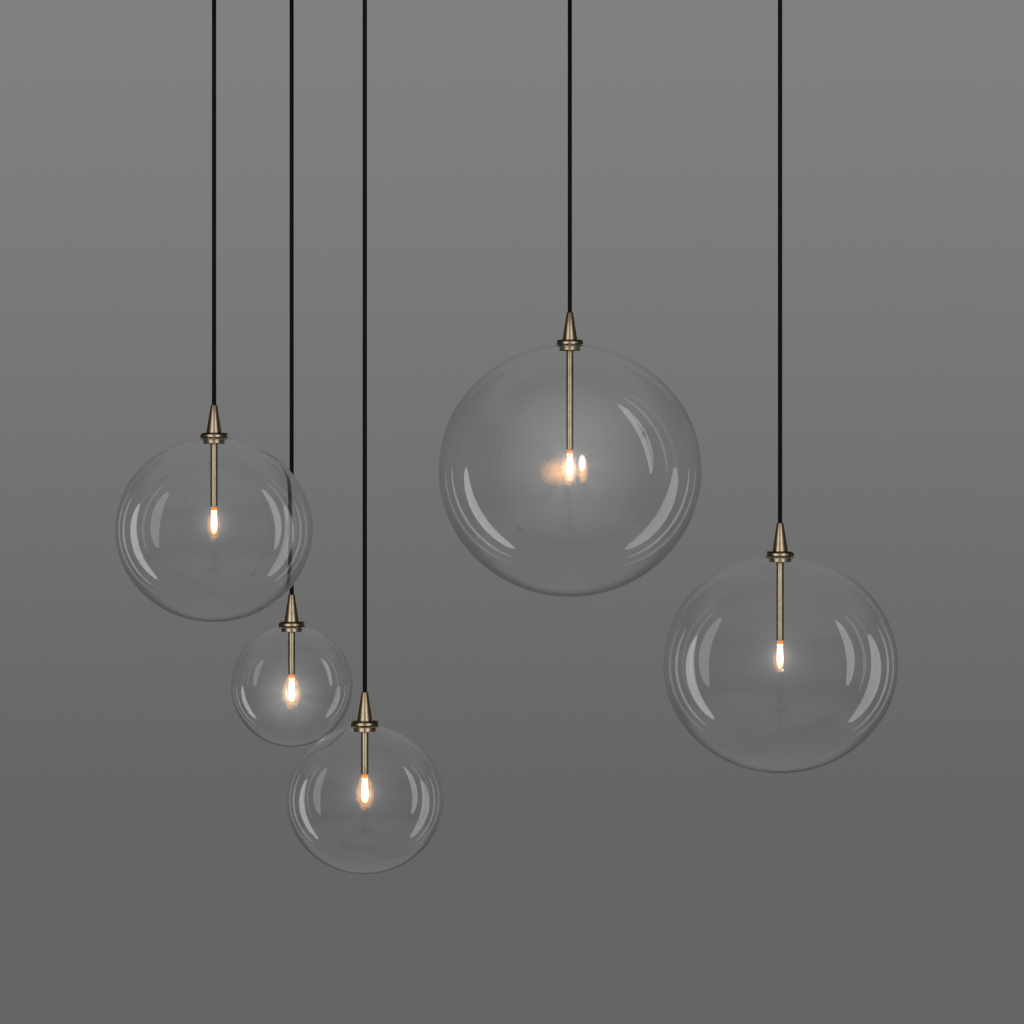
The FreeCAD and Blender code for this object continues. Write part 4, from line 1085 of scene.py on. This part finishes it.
# %% Lamp finishes
CORE_STRENGTH = 3.6
CAPSULE_STRENGTH = 0.10
GLARE = (1.0, 0.36, 0.10)
WHITE, BETWEEN_TURNS = (1.0, 0.86, 0.66), (0.42, 0.20, 0.08)
WHITE_HOT = [  # height in the capsule, from its foot to the top of its pinch
    (0.06, (0.75, 0.20, 0.045)), (0.15, (1.0, 0.50, 0.20)), (0.28, WHITE), (0.66, WHITE),
    (0.685, BETWEEN_TURNS), (0.71, WHITE), (0.77, WHITE), (0.795, BETWEEN_TURNS),
    (0.82, (1.0, 0.80, 0.55)), (0.89, (0.36, 0.085, 0.012)), (1.0, (0.20, 0.045, 0.005)),
]
CAPSULE_HEIGHT = 37.0 * MM


def not_mirrored(tree):
    """One for light that has met no mirror yet, nought for all other light."""
    path = tree.nodes.new("ShaderNodeLightPath").outputs
    return math_node(tree, "LESS_THAN", path["Glossy Depth"], 0.5)


def white_hot(name, place):
    """A surface that only shines, in colours that run up it from its foot."""
    material, tree, shader = new_material(
        name, Base_Color=(0.02, 0.016, 0.012, 1.0), Roughness=0.9, Specular_IOR_Level=0.0,
        Emission_Strength=CORE_STRENGTH)
    over_middle = split_up(tree, own_coordinates(tree, place))["Z"]
    share = times(tree, over_middle, 1.0 / CAPSULE_HEIGHT, 0.5)
    shining = blend_colour(tree, not_mirrored(tree), BLACK, ramp(tree, share, WHITE_HOT))
    fill(tree, shader, Emission_Color=shining)
    return material


def lit_quartz(name, place):
    """The capsule's clear glass, which scatters a little of the lamp's own light."""
    material = clear_glass(name, place, 20.0 * MM, unevenness=0.02 * MM, absorb=0.0)
    tree = material.node_tree
    fill(tree, tree.nodes["Principled BSDF"], Emission_Strength=CAPSULE_STRENGTH,
         Emission_Color=blend_colour(tree, not_mirrored(tree), BLACK, GLARE))
    return material


lead_metal, tree, shader = new_material("lead_metal", Metallic=1.0)
grime = noise(tree, own_coordinates(tree), 1500.0, 2.0)
fill(tree, shader, Roughness=times(tree, grime, 0.2, 0.25),
     Base_Color=ramp(tree, grime, [(0.3, (0.50, 0.49, 0.47)), (0.7, (0.62, 0.61, 0.59))]))
put_on(metal, lead_metal)
print("core gives", CORE_STRENGTH, "and the glass round it", CAPSULE_STRENGTH)

# %% [markdown]
# The capsule, its metal and its core are the same in all five lamps, so they were made once,
# for pendant a, and are copied. The finishes are centred on each lamp's own middle.

# %% Lamps for all pendants
lamp_middle = {}
for p in PENDANTS:
    foot = Vector((*axis[p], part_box(f"lamp_{p}")[0][2]))
    shift = foot - Vector((ax, ay, lamp_foot))
    lamp_middle[p] = place = foot + Vector((0.0, 0.0, CAPSULE_HEIGHT / 2))
    pieces = {}
    for source, name in ((capsule, "capsule"), (metal, "lamp_metal"), (core, "lamp_core")):
        pieces[name] = source if p == "a" else copy_to(source, f"{name}_{p}", shift)
    put_on(pieces["lamp_core"], white_hot(f"white_hot_{p}", place))
    put_on(pieces["capsule"], lit_quartz(f"lit_quartz_{p}", place))
    for piece in pieces.values():
        piece.visible_glossy = False
        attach(piece, f"lamp_capsule_{p}")
    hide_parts(f"lamp_{p}")
print("lamps at", [round(v.z, 3) for v in lamp_middle.values()])

# %% [markdown]
# ## The glow round a lit lamp
#
# A lamp this bright glares in any lens: its white core has a ragged orange fringe, a faint
# haze round it and, on the brightest two, rays. The glow isn't a part of the object: it is
# soft clouds that only give light, densest at the lamp, which ride along with it.

# %% Glow
FRINGE, HAZE, RAYS = "fringe", "haze", "rays"
GLOW_COLOUR = {FRINGE: (1.0, 0.42, 0.06), HAZE: (1.0, 0.98, 0.96), RAYS: (1.0, 0.98, 0.96)}
RAGGED_SCALE, RAGGED_BY = 190.0, 0.7
RAY_PAIRS, RAY_WANDER, RAY_SHARPNESS = 9, 14.0, 2.5


def rays_round(tree, place):
    """Rays that run out from the middle, in X and Z, at uneven angles."""
    right, _, up = split_up(tree, place)
    angle = math_node(tree, "ARCTAN2", up, right)
    turn = add_node(tree, "ShaderNodeCombineXYZ", X=times(tree, angle, 1.7))
    wander = times(tree, noise(tree, turn.outputs[0], 1.0, 2.0), RAY_WANDER)
    phase = times(tree, angle, RAY_PAIRS, wander)
    wave = times(tree, math_node(tree, "SINE", phase), 0.5, 0.5)
    return math_node(tree, "POWER", wave, RAY_SHARPNESS)


def glow_cloud(name, place, ovals):
    """A cloud that only shines: ovals are (shift, half sizes, power, density, kind) rows."""
    material = bpy.data.materials.new(name)
    material.use_nodes = True
    tree = material.node_tree
    tree.nodes.remove(tree.nodes["Principled BSDF"])
    coordinates = own_coordinates(tree, place)
    direct = not_mirrored(tree)
    uneven = noise(tree, coordinates, RAGGED_SCALE, 2.0)
    ragged = times(tree, uneven, RAGGED_BY, -RAGGED_BY / 2)
    total = None
    for shift, half_sizes, power, density, kind in ovals:
        moved = vector_node(tree, "SUBTRACT", coordinates, [v * MM for v in shift])
        scaled = vector_node(tree, "DIVIDE", moved, [v * MM for v in half_sizes])
        distance = vector_node(tree, "LENGTH", scaled)
        if kind == FRINGE:
            distance = math_node(tree, "ADD", distance, ragged)
        inside = math_node(tree, "MAXIMUM", math_node(tree, "SUBTRACT", 1.0, distance), 0.0)
        strength = times(tree, math_node(tree, "POWER", inside, power), density)
        if kind == RAYS:
            strength = times(tree, strength, rays_round(tree, scaled))
        strength = times(tree, strength, direct)
        shining = add_node(tree, "ShaderNodeEmission", Color=(*GLOW_COLOUR[kind], 1.0),
                           Strength=strength).outputs[0]
        if total is not None:
            shining = add_node(tree, "ShaderNodeAddShader", i0=total, i1=shining).outputs[0]
        total = shining
    fill(tree, tree.nodes["Material Output"], Volume=total)
    material.cycles.volume_step_rate = 0.25
    return material


print("glow ready")

# %% [markdown]
# Each cloud is a sum of ovals. An orange one is nearly even up to its edge, because light
# that thins out slowly would turn yellow where it is brightest. The near cloud holds the
# fringe, and the wide one the haze and rays.

# %% Glows of the five lamps
# Rows are shift and half sizes in millimetres, power of the falloff, density and kind.
CLOSE_HAZE = ((0, 0, -2), (27, 27, 30), 2.0, 9.0, HAZE)
BY_PINCH = ((0, 0, 9), (7.5, 7.5, 11), 0.35, 60.0, FRINGE)
NEAR = {
    "a": [CLOSE_HAZE, ((-0.5, 0, -5), (8.5, 8.5, 20), 0.35, 62.0, FRINGE)],
    "b": [
        CLOSE_HAZE,
        ((-0.5, 0, -7), (8.5, 8.5, 13), 0.8, 190.0, HAZE),
        ((-0.5, 0, -6), (12.8, 12.8, 21), 0.35, 50.0, FRINGE),
        BY_PINCH,
    ],
    "c": [
        CLOSE_HAZE,
        ((0.5, 0, -7), (7.5, 7.5, 12), 0.8, 160.0, HAZE),
        ((0, 0, -6), (11.8, 11.8, 20), 0.35, 52.0, FRINGE),
        BY_PINCH,
    ],
    "d": [
        ((0, 0, -2), (36, 36, 36), 2.2, 10.0, HAZE),
        ((0, 0, -5), (8.0, 8.0, 19), 0.8, 190.0, HAZE),
        ((-0.5, 0, -6), (11.0, 11.0, 24), 0.5, 60.0, FRINGE),
        ((-14, 0, -10), (27, 12, 20), 0.8, 50.0, FRINGE),
        ((16.0, 0, 1.5), (5.0, 5.0, 12), 0.7, 330.0, HAZE),
        ((16.5, 0, -6), (7.2, 7.2, 20), 0.4, 85.0, FRINGE),
    ],
    "e": [
        CLOSE_HAZE,
        ((-1.5, 0, -7), (7.5, 7.5, 16), 0.4, 65.0, FRINGE),
        ((3.0, 0, -18.0), (2.4, 2.4, 2.8), 0.8, 420.0, HAZE),
        ((-1.0, 0, -17.0), (2.2, 2.2, 2.6), 0.8, 300.0, HAZE),
    ],
}
WIDE = {
    "a": [((0, 0, -2), (45, 45, 45), 1.6, 1.2, HAZE)],
    "b": [((-3, 0, -9), (54, 54, 54), 1.4, 3.2, HAZE), ((0, 0, -6), (46, 6, 46), 1.3, 7.0, RAYS)],
    "c": [((0, 0, -2), (52, 52, 52), 1.6, 1.3, HAZE)],
    "d": [
        ((0, 0, 8), (115, 115, 115), 1.2, 1.0, HAZE),
        ((0, 0, -6), (64, 6, 64), 1.5, 13.0, RAYS),
    ],
    "e": [((0, 0, -2), (58, 58, 58), 1.6, 1.3, HAZE)],
}
ROOM_TO_SPARE = 1.03


def reach_of(ovals):
    """How far the furthest oval reaches from the lamp's middle, in metres."""
    return MM * max(abs(s) + h for shift, half, *_ in ovals for s, h in zip(shift, half))


for p in PENDANTS:
    for name, ovals in ((f"glow_{p}", NEAR[p]), (f"haze_{p}", WIDE[p])):
        bpy.ops.mesh.primitive_ico_sphere_add(
            subdivisions=3, radius=ROOM_TO_SPARE * reach_of(ovals), location=lamp_middle[p])
        cloud = bpy.context.object
        cloud.name = name
        settle(cloud)
        put_on(cloud, glow_cloud(name, lamp_middle[p], ovals))
        cloud.visible_glossy = False
        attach(cloud, f"lamp_capsule_{p}")
print("five glows")

# %% [markdown]
# ## Finishes of the other pieces
#
# The pan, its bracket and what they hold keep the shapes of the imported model, which are right
# as they are. They get real finishes. The pan is brass brushed along its length: noise that
# is drawn out in one direction gives its lines. Sheet steel has zinc crystals, which are the
# cells of a Voronoi pattern.

# %% Brushed and plated metal
def brushed_brass(name, stretch):
    """Sheet brass; stretch draws its brushed lines out, most where it is smallest."""
    material, tree, shader = new_material(name, Metallic=1.0)
    coordinates = own_coordinates(tree)
    drawn_out = vector_node(tree, "MULTIPLY", coordinates, stretch)
    hair = noise(tree, drawn_out, 4.0, 4.0, Roughness=0.7)
    cloud = noise(tree, coordinates, 14.0, 5.0)
    fill(tree, shader, Base_Color=ramp(tree, cloud, [(0.3, BRASS_LIGHT), (0.75, BRASS_DARK)]),
         Roughness=times(tree, hair, 0.22, 0.17),
         Normal=bump(tree, hair, 0.02 * MM, 0.5))
    return material


def zinc_steel():
    """Zinc-plated steel: crystals of slightly different greys."""
    material, tree, shader = new_material("zinc_steel", Metallic=1.0)
    place = own_coordinates(tree)
    crystals = add_node(tree, "ShaderNodeTexVoronoi", Vector=place, Scale=160.0).outputs["Distance"]
    grit = noise(tree, place, 900.0, 3.0)
    flat = times(tree, crystals, 0.9)
    shade = times(tree, grit, 0.4, flat)
    colour = ramp(tree, shade, [(0.2, (0.46, 0.47, 0.49)), (0.9, (0.70, 0.71, 0.72))])
    fill(tree, shader, Base_Color=colour,
         Roughness=times(tree, crystals, 0.25, 0.27),
         Normal=bump(tree, shade, 0.03 * MM, 0.4))
    return material


print("metals ready")

# %% [markdown]
# Plastics, rubber, ceramic and silicone come out of a mould, with a fine even texture and
# colours that hardly change. One recipe makes them all, and only its values differ.

# %% Soft and moulded materials
def moulded(name, dark, light, roughness, grain_scale, depth, **extra):
    """A non-metal with fine moulded texture and slow clouds in its colour."""
    material, tree, shader = new_material(name, **extra)
    coordinates = own_coordinates(tree)
    cloud = noise(tree, coordinates, 45.0, 4.0)
    texture = noise(tree, coordinates, grain_scale, 3.0, Roughness=0.7)
    slow = times(tree, cloud, 0.65)
    shade = times(tree, texture, 0.35, slow)
    fill(tree, shader, Base_Color=ramp(tree, shade, [(0.3, dark), (0.7, light)]),
         Roughness=times(tree, texture, 0.2, roughness - 0.1),
         Normal=bump(tree, texture, depth, 0.5))
    return material


rubber = moulded("black_rubber", (0.018, 0.018, 0.018), (0.040, 0.040, 0.039),
                 0.7, 1200.0, 0.04 * MM)
white_plastic = moulded("white_plastic", (0.74, 0.73, 0.70), (0.86, 0.86, 0.83),
                        0.42, 1500.0, 0.02 * MM)
grey_plastic = moulded("grey_plastic", (0.36, 0.37, 0.38), (0.48, 0.49, 0.50),
                       0.55, 1400.0, 0.05 * MM)
ceramic = moulded("white_ceramic", (0.76, 0.75, 0.70), (0.88, 0.87, 0.83),
                  0.6, 2200.0, 0.03 * MM)
silicone = moulded("clear_silicone", (0.66, 0.66, 0.64), (0.80, 0.80, 0.78),
                   0.35, 800.0, 0.02 * MM, Transmission_Weight=0.45, IOR=1.41)
print("soft and moulded materials ready")

# %% [markdown]
# A table says which finish each kept piece gets, so that none is forgotten.

# %% Finish of each kept piece
fitting_brass = brushed_brass("fitting_brass", (380.0, 380.0, 60.0))
zinc = zinc_steel()
FINISH = {
    "canopy_pan": brushed_brass("brushed_brass", (6.0, 420.0, 420.0)),
    "pan_cap_nuts": fitting_brass,
    "cord_glands": fitting_brass,
    "ceiling_bracket": zinc,
    "pan_studs": zinc,
    "gland_locknuts": zinc,
    "cable_grommet": rubber,
    "terminal_block": white_plastic,
    "transformer": grey_plastic,
    "cord_tails": black_textile("black_tails", (0.0, 0.0, 0.0)),
}
for p in PENDANTS:
    FINISH[f"cord_grip_{p}"] = zinc
    FINISH[f"lampholder_{p}"] = ceramic
    FINISH[f"seals_{p}"] = silicone
for node, material in FINISH.items():
    put_on(frame["nodes"][node], material)
print(len(FINISH), "nodes keep their shape")

# %% [markdown]
# ## The pan isn't mirrored
#
# The wide brass pan would show in the crown of every globe, where the photographed glass is
# clear, so it is left out of mirrored light.

# %% The pan isn't mirrored
frame["nodes"]["canopy_pan"].visible_glossy = False
print("the pan stays out of mirrored light")
